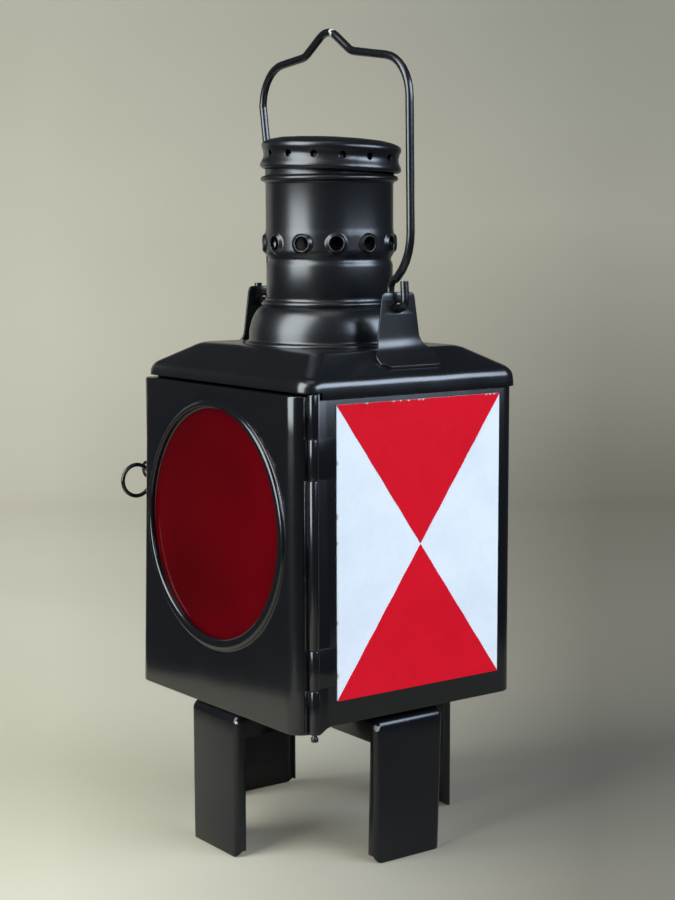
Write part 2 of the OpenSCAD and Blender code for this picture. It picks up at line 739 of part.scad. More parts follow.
// Pressed door pan with the rolled bead round the lens opening
module door_pan() {
    color(black_paint) difference() {
        union() {
            translate([0, 0, door_z]) difference() {
                linear_extrude(door_h) door_plan(0);
                translate([0, 0, sheet]) linear_extrude(door_h - 2 * sheet) union() {
                    door_plan(sheet);
                    translate([-door_left + sheet, door_back_y - 1])
                        square([door_left + door_right - 2 * sheet, 3]);
                }
            }
            on_lens(door_front_y + 0.4) rotate_extrude() translate([lens_hole_r + bead_r, 0]) circle(bead_r);
        }
        on_lens(door_front_y - 10) cylinder(r = lens_hole_r, h = 30);
        on_lens(door_front_y + sheet) cylinder(r = lens_hole_r + 2 * bead_r, h = 8);
        for (a = [45:90:315]) on_lens(door_front_y - 1) rotate([0, 0, a]) translate([stud_at, 0, 0])
            cylinder(r = stud_r - 0.3, h = 4);
        translate([-door_left - 1, keeper_y, door_z + latch_up])
            rotate([0, 90, 0]) cylinder(r = 1, h = 4, $fn = 32);
    }
}

// Soft ring between the door and the glass
module lens_gasket() {
    color([0.12, 0.11, 0.1]) on_lens(door_front_y + sheet) difference() {
        cylinder(r = glass_r, h = gasket_t);
        translate([0, 0, -1]) cylinder(r = glass_r - seat_w + 1, h = gasket_t + 2);
    }
}

// Round red glass
module lens_glass() {
    color([0.45, 0.01, 0.02]) on_lens(glass_y) cylinder(r = glass_r, h = glass_t);
}

// Ring behind the glass, with four lugs for its studs
module lens_retainer() {
    color(black_paint) on_lens(retainer_y) difference() {
        union() {
            cylinder(r = glass_r + 1.2, h = sheet);
            for (a = [45:90:315]) rotate([0, 0, a]) translate([stud_at, 0, 0]) {
                cylinder(r = 5, h = sheet, $fn = 40);
                translate([-8, -5, 0]) cube([8, 10, sheet]);
            }
        }
        translate([0, 0, -1]) cylinder(r = glass_r - 6, h = sheet + 2);
        for (a = [45:90:315]) rotate([0, 0, a]) translate([stud_at, 0, -1])
            cylinder(r = stud_r + 0.1, h = sheet + 2, $fn = 40);
    }
}

// Four studs, set in the door sheet
module retainer_studs() {
    color(tin) for (a = [45:90:315]) on_lens(door_front_y + sheet - 0.9) rotate([0, 0, a])
        translate([stud_at, 0, 0]) {
            cylinder(r = stud_r - 0.35, h = 1, $fn = 40);
            translate([0, 0, 0.9]) cylinder(r = stud_r, h = gasket_t + glass_t + sheet + 4, $fn = 40);
        }
}

// Four nuts on the studs
module retainer_nuts() {
    color(tin) for (a = [45:90:315]) on_lens(retainer_y + sheet) rotate([0, 0, a])
        translate([stud_at, 0, 0]) difference() {
            cylinder(r = 3.4, h = 2.4, $fn = 6);
            translate([0, 0, -1]) cylinder(r = stud_r + 0.05, h = 5, $fn = 40);
        }
}

// One knuckle of a hinge along Z, bored for its pin
module knuckle(r, bore, h) {
    difference() {
        cylinder(r = r, h = h, $fn = 48);
        translate([0, 0, -1]) cylinder(r = bore + pin_fit, h = h + 2, $fn = 48);
    }
}

// A strap of the door hinge, wrapped from the side wall to its knuckle
module hinge_strap(z) {
    color(black_paint) translate([0, 0, case_z + z]) {
        translate([hinge_x, hinge_y, 0]) knuckle(knuckle_r, pin_r, strap_h);
        difference() {
            translate([case_half, hinge_y, 0]) cube([leaf_t, panel_front_y - hinge_y - 0.6, strap_h]);
            translate([hinge_x, hinge_y, -1]) cylinder(r = knuckle_r - 0.5, h = strap_h + 2);
        }
    }
}

panel_front_y = panel_back - panel_w / 2;
module hinge_strap_lower() hinge_strap(strap_low);
module hinge_strap_upper() hinge_strap(strap_high);

// Stretches of the door's knuckles, as bottom and top
function door_knuckles() = [
    [door_z + 1.5, case_z + strap_low - knuckle_gap],
    [case_z + strap_low + strap_h + knuckle_gap, case_z + strap_high - knuckle_gap],
    [case_z + strap_high + strap_h + knuckle_gap, skirt_z + skirt_cut - 0.5]];

// Leaf of the door hinge, on the side of the door pan
module hinge_door_leaf() {
    color(black_paint) for (k = door_knuckles()) translate([0, 0, k[0]]) {
        translate([hinge_x, hinge_y, 0]) knuckle(knuckle_r, pin_r, k[1] - k[0]);
        difference() {
            translate([door_right, hinge_y - 5, 0])
                cube([leaf_t, 5, min(k[1], door_z + door_h - 0.5) - k[0]]);
            translate([hinge_x, hinge_y, -1]) cylinder(r = knuckle_r - 0.4, h = k[1] - k[0] + 2);
        }
    }
}

// Long pin of the door hinge, with a small foot below the last knuckle
module hinge_pin() {
    z0 = door_z - 3.6;
    color(tin) translate([hinge_x, hinge_y, z0]) {
        cylinder(r = pin_r, h = skirt_z + skirt_cut - 1 - z0, $fn = 48);
        cylinder(r = pin_r + 0.9, h = 3, $fn = 48);
    }
}

// Places of the latch on the -X side
latch_z = door_z + latch_up;
hasp_x = -case_half - 0.4 - hasp_t;
hasp_front_y = -case_front - 5.6;
latch_x = -case_half - 3;
latch_y = hasp_front_y + hasp_len + 2.6;
keeper_y = door_back_y - 2.5;
eye_x = hasp_x - 5.4;

// Bracket that is riveted to the left wall and carries the hasp
module latch_bracket() {
    color(black_paint) {
        difference() {
            union() {
                translate([-case_half - hasp_t, latch_y, latch_z - hasp_h / 2]) cube([hasp_t, 18, hasp_h]);
                for (z = [-hasp_h / 2, hasp_h / 2 - 4])
                    translate([-case_half - 2, latch_y - 1, latch_z + z]) cube([2, 2, 4]);
            }
            translate([latch_x, latch_y, latch_z - hasp_h]) cylinder(r = 2.1, h = 2 * hasp_h, $fn = 48);
            translate([latch_x, latch_y, latch_z - hasp_h / 2 + 4]) cylinder(r = 2.9, h = hasp_h - 8, $fn = 48);
        }
        for (z = [-hasp_h / 2, hasp_h / 2 - 4])
            translate([latch_x, latch_y, latch_z + z]) knuckle(2.6, latch_pin_r, 4);
        for (y = [8, 14]) translate([-case_half - hasp_t, latch_y + y, latch_z]) rotate([0, -90, 0])
            cylinder(r1 = rivet_head_r * 0.8, r2 = rivet_head_r * 0.5, h = 1, $fn = 40);
    }
}

// Pin of the latch
module latch_pin() {
    color(tin) translate([latch_x, latch_y, latch_z - hasp_h / 2 - 0.8])
        cylinder(r = latch_pin_r, h = hasp_h + 1.6, $fn = 48);
}

// Hasp that reaches over the door's edge, with the lug for the ring
module latch_hasp() {
    lug_r = 6.2;
    hole_r = 4;
    color(black_paint) {
        difference() {
            translate([hasp_x, hasp_front_y, latch_z - hasp_h / 2])
                cube([hasp_t, latch_y - hasp_front_y - 1.2, hasp_h]);
            translate([latch_x, latch_y, latch_z - hasp_h]) cylinder(r = 2.5, h = 2 * hasp_h, $fn = 48);
            for (z = [-hasp_h / 2 - 1, hasp_h / 2 - 4.3])
                translate([hasp_x - 1, latch_y - 3.4, latch_z + z]) cube([hasp_t + 2, 4, 5.3]);
            translate([hasp_x - 1, keeper_y, latch_z]) rotate([0, 90, 0])
                cylinder(r = 1.9, h = hasp_t + 2, $fn = 40);
        }
        translate([latch_x, latch_y, latch_z - hasp_h / 2 + 4.3]) knuckle(2.6, latch_pin_r, hasp_h - 8.6);
        translate([0, hasp_front_y + hasp_t, latch_z]) rotate([90, 0, 0]) linear_extrude(hasp_t)
            difference() {
                union() {
                    translate([eye_x, 0]) circle(lug_r, $fn = 48);
                    translate([eye_x, -lug_r]) square([hasp_x - eye_x + hasp_t, 2 * lug_r]);
                }
                translate([eye_x, 0]) circle(hole_r, $fn = 48);
            }
    }
}

// Stud on the door's edge that the hasp snaps over
module latch_keeper() {
    color(tin) translate([-door_left - 0.4, keeper_y, latch_z])
        rotate([0, 90, 0]) {
            cylinder(r = 1.6, h = 0.4, $fn = 32);
            cylinder(r = 0.95, h = 0.4 + sheet, $fn = 32);
        }
}

// Pull ring, hung in the lug of the hasp
module pull_ring() {
    eye_y = hasp_front_y + hasp_t / 2;
    color(black_paint) translate([eye_x, eye_y, latch_z]) rotate([-ring_swing, 0, 0])
        translate([0, 0, -ring_r]) rotate([0, 90, 0]) rotate_extrude()
            translate([ring_r, 0]) circle(ring_wire_r, $fn = 32);
}

// Enamelled plate on the right side wall
module panel_plate() {
    color([0.88, 0.9, 0.95]) translate([case_half, panel_front_y, case_z + panel_up])
        cube([panel_t, panel_w, panel_h]);
}

// Upper and lower red fields, which meet at the middle of the plate
module panel_red_fields() {
    apex = 0.3;
    color([0.8, 0.06, 0.12]) translate([case_half + panel_t, panel_back, case_z + panel_up + panel_h / 2])
        rotate([90, 0, 90]) linear_extrude(field_t) for (s = [-1, 1])
            polygon([[0, s * apex], [panel_w / 2, s * panel_h / 2], [-panel_w / 2, s * panel_h / 2]]);
}

// Two angles on the floor that guide the reservoir
module tank_rails() {
    x = tank_w / 2 + 0.3;
    color(black_paint) for (s = [0, 1]) mirror([s, 0, 0]) translate([x, -tank_d / 2, floor_top]) {
        cube([sheet, tank_d, 12]);
        cube([5, tank_d, sheet]);
    }
}

// Rounded box about the chimney axis
module soft_box(w, d, r, h) {
    linear_extrude(h) {
        translate([-w / 2, -d / 2 + r]) square([w, d - 2 * r]);
        translate([-w / 2 + r, -d / 2]) square([w - 2 * r, d]);
        for (x = [-w / 2 + r, w / 2 - r]) for (y = [-d / 2 + r, d / 2 - r]) translate([x, y]) circle(r, $fn = 48);
    }
}

neck_x = tank_w / 2 - neck_r - 11;
neck_y = -tank_d / 2 + neck_r + 8;

// Oil reservoir, open only at its burner collar and filler neck
module oil_reservoir() {
    t = tank_wall;
    color(tin) difference() {
        translate([0, 0, tank_z]) soft_box(tank_w, tank_d, 8, tank_h);
        translate([0, 0, tank_z + t]) soft_box(tank_w - 2 * t, tank_d - 2 * t, 8 - t, tank_h - 2 * t);
        translate([0, 0, tank_top - 5]) cylinder(r = collar_r, h = 10);
        translate([neck_x, neck_y, tank_top - 5]) cylinder(r = neck_r - 1.5, h = 10);
    }
}

// Neck that the oil is poured through
module filler_neck() {
    color(tin) translate([neck_x, neck_y, tank_top]) difference() {
        cylinder(r = neck_r, h = 8);
        translate([0, 0, -1]) cylinder(r = neck_r - 1.5, h = 10);
    }
}

// Grooved cap that lifts off the filler neck
module filler_cap() {
    color(brass) translate([neck_x, neck_y, tank_top + 1]) difference() {
        cylinder(r = neck_r + 2.2, h = 9);
        translate([0, 0, -1]) cylinder(r = neck_r + pin_fit, h = 8);
        for (a = [0:20:340]) rotate([0, 0, a]) translate([neck_r + 2.5, 0, -1])
            cylinder(r = 0.8, h = 12, $fn = 16);
    }
}

// Ring on the reservoir that the burner screws into
module burner_collar() {
    color(brass) translate([0, 0, tank_top]) difference() {
        cylinder(r = collar_r + 3, h = 5);
        translate([0, 0, -1]) cylinder(r = collar_r, h = 7);
    }
}

// Burner: spigot in the collar, gallery cup and two bearing lugs
module burner_body() {
    g = gallery_r;
    slot = [wick_w + 2 * wick_fit + 2, wick_t + 2 * wick_fit + 2];
    spigot = collar_r - pin_fit;
    lug_x = slot[0] / 2 + 1.5;
    color(brass) translate([0, 0, tank_top]) difference() {
        union() {
            difference() {
                rotate_extrude() polygon([[0, -3], [spigot, -3], [spigot, 5], [g - 4, 5], [g, 8],
                                          [g, 12.6], [g - 1, 12.6], [g - 1, 8.6], [g - 4.4, 6.2], [0, 6.2]]);
                translate([0, 0, -10]) cylinder(r = spigot - 1, h = 15);
                for (a = [0:30:330]) rotate([0, 0, a + 15]) translate([g - 7, 0, 4])
                    cylinder(r = 1.3, h = 4, $fn = 24);
            }
            for (s = [-1, 1]) translate([s * lug_x - 0.6, -4, 6]) cube([1.2, 4 + shaft_y + 3, 16]);
        }
        translate([-slot[0] / 2, -slot[1] / 2, -10]) cube([slot[0], slot[1], 30]);
        translate([-lug_x - 5, shaft_y, shaft_z - tank_top]) rotate([0, 90, 0])
            cylinder(r = shaft_r + pin_fit, h = 2 * lug_x + 10, $fn = 48);
    }
}

// Domed cover of the burner, with the slot for the flame
module burner_dome() {
    g = gallery_r;
    arc = [for (a = [0:15:75]) [g * cos(a), 27 + 15 * sin(a)]];
    inner = [for (i = [len(arc) - 1:-1:0]) [arc[i][0] - 0.9, arc[i][1] - (i > 0 ? 0.9 : 0)]];
    color(brass) translate([0, 0, tank_top]) difference() {
        rotate_extrude() polygon(concat([[g, 12.6]], arc, [[0, 41.8], [0, 40.9]], inner, [[g - 0.9, 12.6]]));
        translate([-wick_w / 2 - 2.5, -wick_t / 2 - 2.5, 30]) cube([wick_w + 5, wick_t + 5, 20]);
        translate([0, shaft_y, shaft_z - tank_top]) rotate([0, 90, 0]) cylinder(r = shaft_r + 0.6, h = 40, $fn = 40);
        for (a = [0:30:330]) rotate([0, 0, a + 15]) translate([g - 3, 0, 25]) rotate([0, 90, 0])
            cylinder(r = 1.5, h = 6, $fn = 24);
    }
}

// Flat tube that guides the wick
module wick_tube() {
    w = wick_w + 2 * wick_fit;
    d = wick_t + 2 * wick_fit;
    color(brass) translate([0, 0, tank_top]) difference() {
        translate([-w / 2 - 1, -d / 2 - 1, -6]) cube([w + 2, d + 2, 46]);
        translate([-w / 2, -d / 2, -7]) cube([w, d, 48]);
        translate([-7.5, 0, shaft_z - tank_top - 6]) cube([15, d, 12]);
    }
}

// Flat cotton wick, from the oil to the flame
module wick() {
    color([0.85, 0.8, 0.68]) translate([-wick_w / 2, -wick_t / 2, tank_z + 8])
        cube([wick_w, wick_t, wick_top - tank_z - 8]);
}

// Shaft that turns the wick wheels
module wick_shaft() {
    color(brass) translate([-17, shaft_y, shaft_z]) rotate([0, 90, 0])
        cylinder(r = shaft_r, h = 17 + gallery_r + 24, $fn = 48);
}

// Two toothed wheels on the shaft
module wick_wheels() {
    teeth = 12;
    color(brass) for (x = [-5.5, 3.1]) translate([x, shaft_y, shaft_z]) rotate([0, 90, 0])
        linear_extrude(2.4) difference() {
            polygon([for (i = [0:2 * teeth - 1]) let (r = i % 2 == 0 ? wheel_r : wheel_r - 1.1)
                     [r * cos(i * 180 / teeth), r * sin(i * 180 / teeth)]]);
            circle(shaft_r, $fn = 48);
        }
}

// Grooved knob at the end of the shaft
module wick_knob() {
    color(brass) translate([gallery_r + 18, shaft_y, shaft_z]) rotate([0, 90, 0]) difference() {
        cylinder(r = knob_r, h = 4);
        translate([0, 0, -1]) cylinder(r = shaft_r, h = 8, $fn = 48);
        for (a = [0:20:340]) rotate([0, 0, a]) translate([knob_r + 0.3, 0, -1])
            cylinder(r = 0.9, h = 8, $fn = 16);
    }
}

// Depth of the dish at a distance from its axis
function dish_y(r) = dish_focus - r * r / (4 * dish_focus);

// Bright dish behind the flame
module reflector() {
    steps = 10;
    front = [for (i = [0:steps]) let (r = dish_r * i / steps) [r, -dish_y(r)]];
    back = [for (i = [steps:-1:0]) let (r = dish_r * i / steps) [r, -dish_y(r) - 0.9]];
    color([0.85, 0.85, 0.86]) translate([0, 0, flame_z]) rotate([90, 0, 0])
        rotate_extrude() polygon(concat(front, back));
}

// Bent strip that carries the dish from the back wall
module reflector_bracket() {
    y0 = dish_focus + 0.9;
    y1 = case_back - sheet;
    color(tin) translate([-bracket_w / 2, 0, flame_z]) {
        translate([0, y0, 0]) cube([bracket_w, y1 - y0, 1.5]);
        translate([0, y1 - 1.5, -28]) cube([bracket_w, 1.5, 40]);
        translate([0, y0, -12]) cube([bracket_w, 1.5, 24]);
    }
}

case_shell();
floor_pan();
roof_hood();
foot_front();
foot_right();
foot_back();
foot_left();
foot_rivets();
chimney_flare();
chimney_tube();
chimney_cap();
draught_tube();
ear_right();
ear_left();
ear_rivets();
bail();
door_pan();
lens_gasket();
lens_glass();
lens_retainer();
retainer_studs();
retainer_nuts();
hinge_strap_lower();
hinge_strap_upper();
hinge_door_leaf();
hinge_pin();
latch_bracket();
latch_pin();
latch_hasp();
latch_keeper();
pull_ring();
panel_plate();
panel_red_fields();
tank_rails();
oil_reservoir();
filler_neck();
filler_cap();
burner_collar();
burner_body();
burner_dome();
wick_tube();
wick();
wick_shaft();
wick_wheels();
wick_knob();
reflector();
reflector_bracket();
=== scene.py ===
"""Dresses the railway tail lamp: painted sheet metal, red lens, signal panel, chimney and bail."""

import json
import math
from contextlib import contextmanager

import bmesh
import bpy
from bpy.props import FloatProperty, FloatVectorProperty, IntProperty, PointerProperty
from mathutils import Matrix, Vector


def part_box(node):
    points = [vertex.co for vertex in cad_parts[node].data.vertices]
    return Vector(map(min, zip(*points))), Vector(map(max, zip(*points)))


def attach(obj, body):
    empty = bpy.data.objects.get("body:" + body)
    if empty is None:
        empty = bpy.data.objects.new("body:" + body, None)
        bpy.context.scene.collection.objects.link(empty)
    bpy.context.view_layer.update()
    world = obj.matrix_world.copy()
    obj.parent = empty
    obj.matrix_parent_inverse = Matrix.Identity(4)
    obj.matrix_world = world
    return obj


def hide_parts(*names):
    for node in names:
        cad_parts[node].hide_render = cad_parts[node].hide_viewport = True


bl_info = {
    "name": "Railway Tail Lamp",
    "version": (1, 0, 0),
    "blender": (4, 5, 0),
    "location": "View3D > Sidebar > Tail Lamp",
    "description": "Makes the painted sheet metal, lens, panel, chimney and bail of a tail lamp",
    "category": "Add Mesh",
}

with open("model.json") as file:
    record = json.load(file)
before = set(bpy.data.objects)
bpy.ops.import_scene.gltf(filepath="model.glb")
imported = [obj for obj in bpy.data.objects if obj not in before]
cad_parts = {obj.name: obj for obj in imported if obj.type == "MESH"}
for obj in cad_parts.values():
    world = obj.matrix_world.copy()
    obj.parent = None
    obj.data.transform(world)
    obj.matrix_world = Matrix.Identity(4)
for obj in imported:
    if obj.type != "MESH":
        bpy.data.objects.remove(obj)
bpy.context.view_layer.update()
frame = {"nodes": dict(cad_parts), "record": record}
nodes = frame["nodes"]

CAMERA_PLACE = (1.0449, -0.7521, 0.4432)
CAMERA_LENS = 71.15
CAMERA_DOWN = 7.264
CAMERA_ROLL = 0.158
CAMERA_AZIMUTH = 54.0
CAMERA_BACK = 1.3
LIGHTS_AIM = Vector((0, 0, 0.28))
CHIMNEY_SHEET = 0.0012
HAIR = 0.0001
UPRIGHT = (0, 0, 0)
TO_FRONT = (math.pi / 2, 0, 0)
TO_SIDE = (0, math.pi / 2, 0)


def length(name, description, default):
    return FloatProperty(name=name, description=description, default=default, unit="LENGTH", precision=4)


def tilt(name, description, default):
    return FloatProperty(name=name, description=description, default=math.radians(default), subtype="ANGLE")


class LampBodySizes(bpy.types.PropertyGroup):
    """Sizes of the case, the roof, the ears and the bail."""

    sheet: length("Sheet", "Thickness of the steel sheet", 0.0012)
    half: length("Case half width", "From the middle to the outside of a side wall", 0.1025)
    front: length("Case front", "From the chimney axis to the front opening", 0.086)
    back: length("Case back", "From the chimney axis to the back wall", 0.0897)
    back_r: length("Back corners", "Radius of the two back corners", 0.013)
    fold_r: length("Front folds", "Radius of the two front folds", 0.004)
    lip: length("Front flanges", "Width of the flanges beside the front opening", 0.011)
    wall_low: length("Wall edge", "Height of the walls' lower edge", 0.108)
    wall_high: length("Wall top", "Height of the walls' upper edge", 0.337)
    tab_low: length("Corner edge", "Height of the front corners' lower edge", 0.1034)
    roof_half: length("Roof half width", "From the middle to the side skirt", 0.105)
    roof_front: length("Roof front", "From the chimney axis to the front skirt", 0.095)
    roof_back: length("Roof back", "From the chimney axis to the back skirt", 0.0913)
    roof_corner: length("Roof corner", "Radius of the skirt's upright corners", 0.013)
    skirt_low: length("Skirt edge", "Height of the skirt's lower edge", 0.3288)
    skirt_high: length("Skirt top", "Height where the skirt turns into the shoulders", 0.3348)
    skirt_cut: length("Skirt cut", "How far the skirt is cut up above the door", 0.0042)
    roof_top: length("Roof top", "Height of the flat top", 0.3573)
    shoulder_slope: tilt("Shoulder slope", "Slope of the shoulders", 29.5)
    edge_low_r: length("Lower edge radius", "Rounding between skirt and shoulder", 0.010)
    edge_top_r: length("Upper edge radius", "Rounding between shoulder and top", 0.016)
    ear_at: length("Ears", "From the middle to the outer face of an ear", 0.0835)
    ear_sheet: length("Ear sheet", "Thickness of an ear", 0.0016)
    ear_bend: length("Ear bend", "Radius of the bend at an ear's foot", 0.020)
    pivot_y: length("Pivot", "Place of the bail's pivot along the side", -0.002)
    pivot_z: length("Pivot height", "Height of the bail's pivot", 0.3855)
    bail_h: length("Bail height", "Height of the bail's peak above its pivot", 0.194)
    bail_r: length("Bail wire", "Radius of the bail's wire", 0.0029)


class LampFootSizes(bpy.types.PropertyGroup):
    """Sizes of the feet."""

    height: length("Height", "Height of the feet", 0.1032)
    width: length("Width", "Width of a foot", 0.0595)
    sheet: length("Sheet", "Thickness of the foot sheet", 0.0014)
    fold: length("Fold", "Radius of a foot's upright folds", 0.0045)
    bend: length("Bend", "Radius of the bend from a foot to its strap", 0.007)
    flange: length("Flange", "Depth of a foot's side flanges", 0.008)
    gusset: length("Gusset", "Height of the gussets under the floor", 0.0177)
    corner: length("Corner", "Radius of the bottom corners", 0.004)
    strap_end: length("Strap end", "From the chimney axis to the inner end of the straps", 0.042)


class LampDoorSizes(bpy.types.PropertyGroup):
    """Sizes of the door, the lens and its bead."""

    left: length("Left", "From the middle to the door's free edge", 0.1019)
    right: length("Right", "From the middle to the door's hinge edge", 0.0998)
    low: length("Low", "Height of the door's lower edge", 0.1039)
    high: length("High", "Height of the door's upper edge", 0.3313)
    front: length("Front", "From the chimney axis to the door's face", 0.100)
    back: length("Back", "From the chimney axis to the door's back edge", 0.0863)
    edge_r: length("Edge radius", "Radius of the long front edges", 0.012)
    sprung: length("Sprung", "How far the lower free corner stands off the case", 0.0048)
    lens_z: length("Lens height", "Height of the lens centre", 0.2335)
    bead_out: length("Bead", "Outer radius of the rolled bead", 0.0877)
    bead_in: length("Opening", "Radius of the opening inside the bead", 0.0818)
    glass_r: length("Glass", "Radius of the glass", 0.086)
    crown: length("Crown", "How far the glass bulges forward", 0.0018)


class LampChimneySizes(bpy.types.PropertyGroup):
    """Sizes of the chimney and its cap."""

    tube_r: length("Tube radius", "Outer radius of the chimney tube", 0.0458)
    foot_r: length("Foot radius", "Outer radius of the foot flange", 0.061)
    vents: IntProperty(name="Vents", description="Number of vents round the tube", default=12, min=4)
    vent_r: length("Vent radius", "Radius of a vent", 0.0048)
    vent_z: length("Vent height", "Height of the vents above the flare", 0.0378)
    cap_holes: IntProperty(name="Cap holes", description="Number of holes round the cap", default=15, min=4)
    cap_tilt: tilt("Cap tilt", "Tilt of the cap", 2.4)
    cap_shift: length("Cap shift", "How far the cap sits off the axis", 0.0008)


def colour(name, description, default):
    return FloatVectorProperty(name=name, description=description, subtype="COLOR", default=default)


class LampColours(bpy.types.PropertyGroup):
    """Colours of the finishes."""

    paint: colour("Paint", "Colour of the black paint", (0.0042, 0.0045, 0.0056))
    glass: colour("Glass", "Colour of the lens glass", (0.105, 0.0005, 0.0028))
    red: colour("Red field", "Colour of the red fields", (0.655, 0.006, 0.017))
    white: colour("White field", "Colour of the white fields", (0.755, 0.765, 0.77))
    floor: colour("Floor", "Colour of the floor and backdrop", (0.435, 0.396, 0.306))


def put_down():
    """Leaves edit mode and deselects everything."""
    if bpy.context.object and bpy.context.object.mode != "OBJECT":
        bpy.ops.object.mode_set(mode="OBJECT")
    bpy.ops.object.select_all(action="DESELECT")
    bpy.context.tool_settings.mesh_select_mode = (True, False, False)


def pick(piece):
    """Makes a piece the only selected one."""
    put_down()
    piece.select_set(True)
    bpy.context.view_layer.objects.active = piece


@contextmanager
def editing(piece):
    """Edit mode on one piece, with all of it selected."""
    pick(piece)
    bpy.ops.object.mode_set(mode="EDIT")
    bpy.ops.mesh.select_all(action="SELECT")
    yield
    bpy.ops.object.mode_set(mode="OBJECT")


def named(name):
    """Names the piece that an operator has just added."""
    piece = bpy.context.object
    piece.name = piece.data.name = name
    return piece


def choose(piece, kind, test):
    """Selects the vertices, edges or faces that pass a test of their place, in edit mode."""
    mesh = bmesh.from_edit_mesh(piece.data)
    bpy.context.tool_settings.mesh_select_mode = (kind == "VERT", kind == "EDGE", kind == "FACE")
    for element in (*mesh.verts, *mesh.edges, *mesh.faces):
        element.select_set(False)
    if kind == "VERT":
        for vert in mesh.verts:
            vert.select_set(test(vert.co))
        mesh.select_flush_mode()
    elif kind == "EDGE":
        for edge in mesh.edges:
            if test(edge.verts[0].co, edge.verts[1].co):
                edge.select_set(True)
    else:
        for face in mesh.faces:
            if test(face.calc_center_median(), face.normal):
                face.select_set(True)
    bmesh.update_edit_mesh(piece.data)


def move_chosen(piece, place):
    """Moves the selected vertices, each by a function of its place."""
    mesh = bmesh.from_edit_mesh(piece.data)
    for vert in mesh.verts:
        if vert.select:
            vert.co = place(vert.co.copy())
    bmesh.update_edit_mesh(piece.data)


def draw_out(piece, place):
    """Extrudes what is selected and moves its new vertices."""
    bpy.ops.mesh.extrude_region_move()
    move_chosen(piece, place)


def reshape(piece, place):
    """Moves all vertices of a piece, each by a function of its place."""
    with editing(piece):
        move_chosen(piece, place)


def bevel_edges(piece, test, offset, segments):
    """Rounds the edges that pass a test, in edit mode."""
    choose(piece, "EDGE", test)
    bpy.ops.mesh.bevel(offset=offset, segments=segments, affect="EDGES")


def delete_faces(piece, test):
    """Deletes the faces that pass a test, in edit mode."""
    choose(piece, "FACE", test)
    bpy.ops.mesh.delete(type="FACE")


def raise_edge(rise, grow_x, grow_y, centre):
    """Extrudes a closed edge upwards in edit mode and resizes it there."""
    bpy.ops.mesh.extrude_region_move(TRANSFORM_OT_translate={"value": (0, 0, rise)})
    bpy.ops.transform.resize(value=(grow_x, grow_y, 1), center_override=centre)


def score(axis, *places):
    """Cuts edges into the mesh in edit mode, in planes across an axis."""
    for place in places:
        bpy.ops.mesh.select_all(action="SELECT")
        bpy.ops.mesh.bisect(plane_co=[place * share for share in axis], plane_no=axis)


def drawn(name, rails):
    """Draws a strip of sheet along pairs of points, as it is folded from flat stock."""
    put_down()
    bpy.ops.mesh.primitive_plane_add(size=1)
    piece = named(name)
    with editing(piece):
        choose(piece, "VERT", lambda co: co.x > 0)
        bpy.ops.mesh.delete(type="VERT")
        bpy.ops.mesh.select_all(action="SELECT")
        near, far = Vector((-0.5, -0.5, 0)), Vector((-0.5, 0.5, 0))
        for i, (new_near, new_far) in enumerate(rails):
            new_near, new_far = Vector(new_near), Vector(new_far)

            def place(co, a=near, b=far, c=new_near, d=new_far):
                return c if (co - a).length < (co - b).length else d

            (draw_out if i else move_chosen)(piece, place)
            near, far = new_near, new_far
    return piece


def settle(piece, turn=None, place=None):
    """Puts a piece's place, turn and size into its mesh."""
    if turn is not None:
        piece.rotation_euler = turn
    if place is not None:
        piece.location = place
    pick(piece)
    bpy.ops.object.transform_apply(location=True, rotation=True, scale=True)
    return piece


def block(name, low, high):
    """A box between two corners."""
    put_down()
    bpy.ops.mesh.primitive_cube_add(size=1, location=(low + high) / 2)
    piece = named(name)
    piece.scale = high - low
    return settle(piece)


def outward(piece, towards=None):
    """Merges doubles and turns the faces outwards, the largest one towards a direction."""
    with editing(piece):
        bpy.ops.mesh.remove_doubles(threshold=0.00002)
        bpy.ops.mesh.dissolve_degenerate(threshold=0.00001)
        bpy.ops.mesh.normals_make_consistent(inside=False)
    if towards is not None:
        way = Vector(towards)
        largest = max(piece.data.polygons, key=lambda face: face.area * abs(face.normal.dot(way)))
        if largest.normal.dot(way) < 0:
            with editing(piece):
                bpy.ops.mesh.flip_normals()
    return piece


def apply_modifier(piece, kind, **settings):
    """Adds a modifier, sets it and applies it."""
    pick(piece)
    modifier = piece.modifiers.new(kind.title(), kind)
    for key, value in settings.items():
        setattr(modifier, key, value)
    bpy.ops.object.modifier_apply(modifier=modifier.name)
    return piece


def wall(piece, thickness, offset=-1.0):
    """Gives a shell its sheet thickness."""
    apply_modifier(piece, "SOLIDIFY", thickness=thickness, offset=offset, use_even_offset=True)


def soften(piece, width, segments=2, angle=50):
    """Rounds the sharp edges of a piece."""
    return apply_modifier(
        piece, "BEVEL", width=width, segments=segments, limit_method="ANGLE",
        angle_limit=math.radians(angle), harden_normals=False, use_clamp_overlap=True,
    )


def shade(piece, angle=35):
    """Smooth shading up to an angle."""
    pick(piece)
    bpy.ops.object.shade_smooth_by_angle(angle=math.radians(angle))


def cut(piece, cutter):
    """Cuts one piece out of another and throws the cutter away."""
    apply_modifier(piece, "BOOLEAN", operation="DIFFERENCE", object=cutter, solver="EXACT")
    bpy.data.objects.remove(cutter, do_unlink=True)
    return piece


def drill(radius, depth, place, turn, sides=48):
    """A round cutter."""
    put_down()
    bpy.ops.mesh.primitive_cylinder_add(
        vertices=sides, radius=radius, depth=depth, location=place, rotation=turn,
    )
    return settle(named("drill"))


def joined(piece, *others):
    """Joins pieces into the first one."""
    put_down()
    for other in others:
        other.select_set(True)
    piece.select_set(True)
    bpy.context.view_layer.objects.active = piece
    bpy.ops.object.join()
    return piece


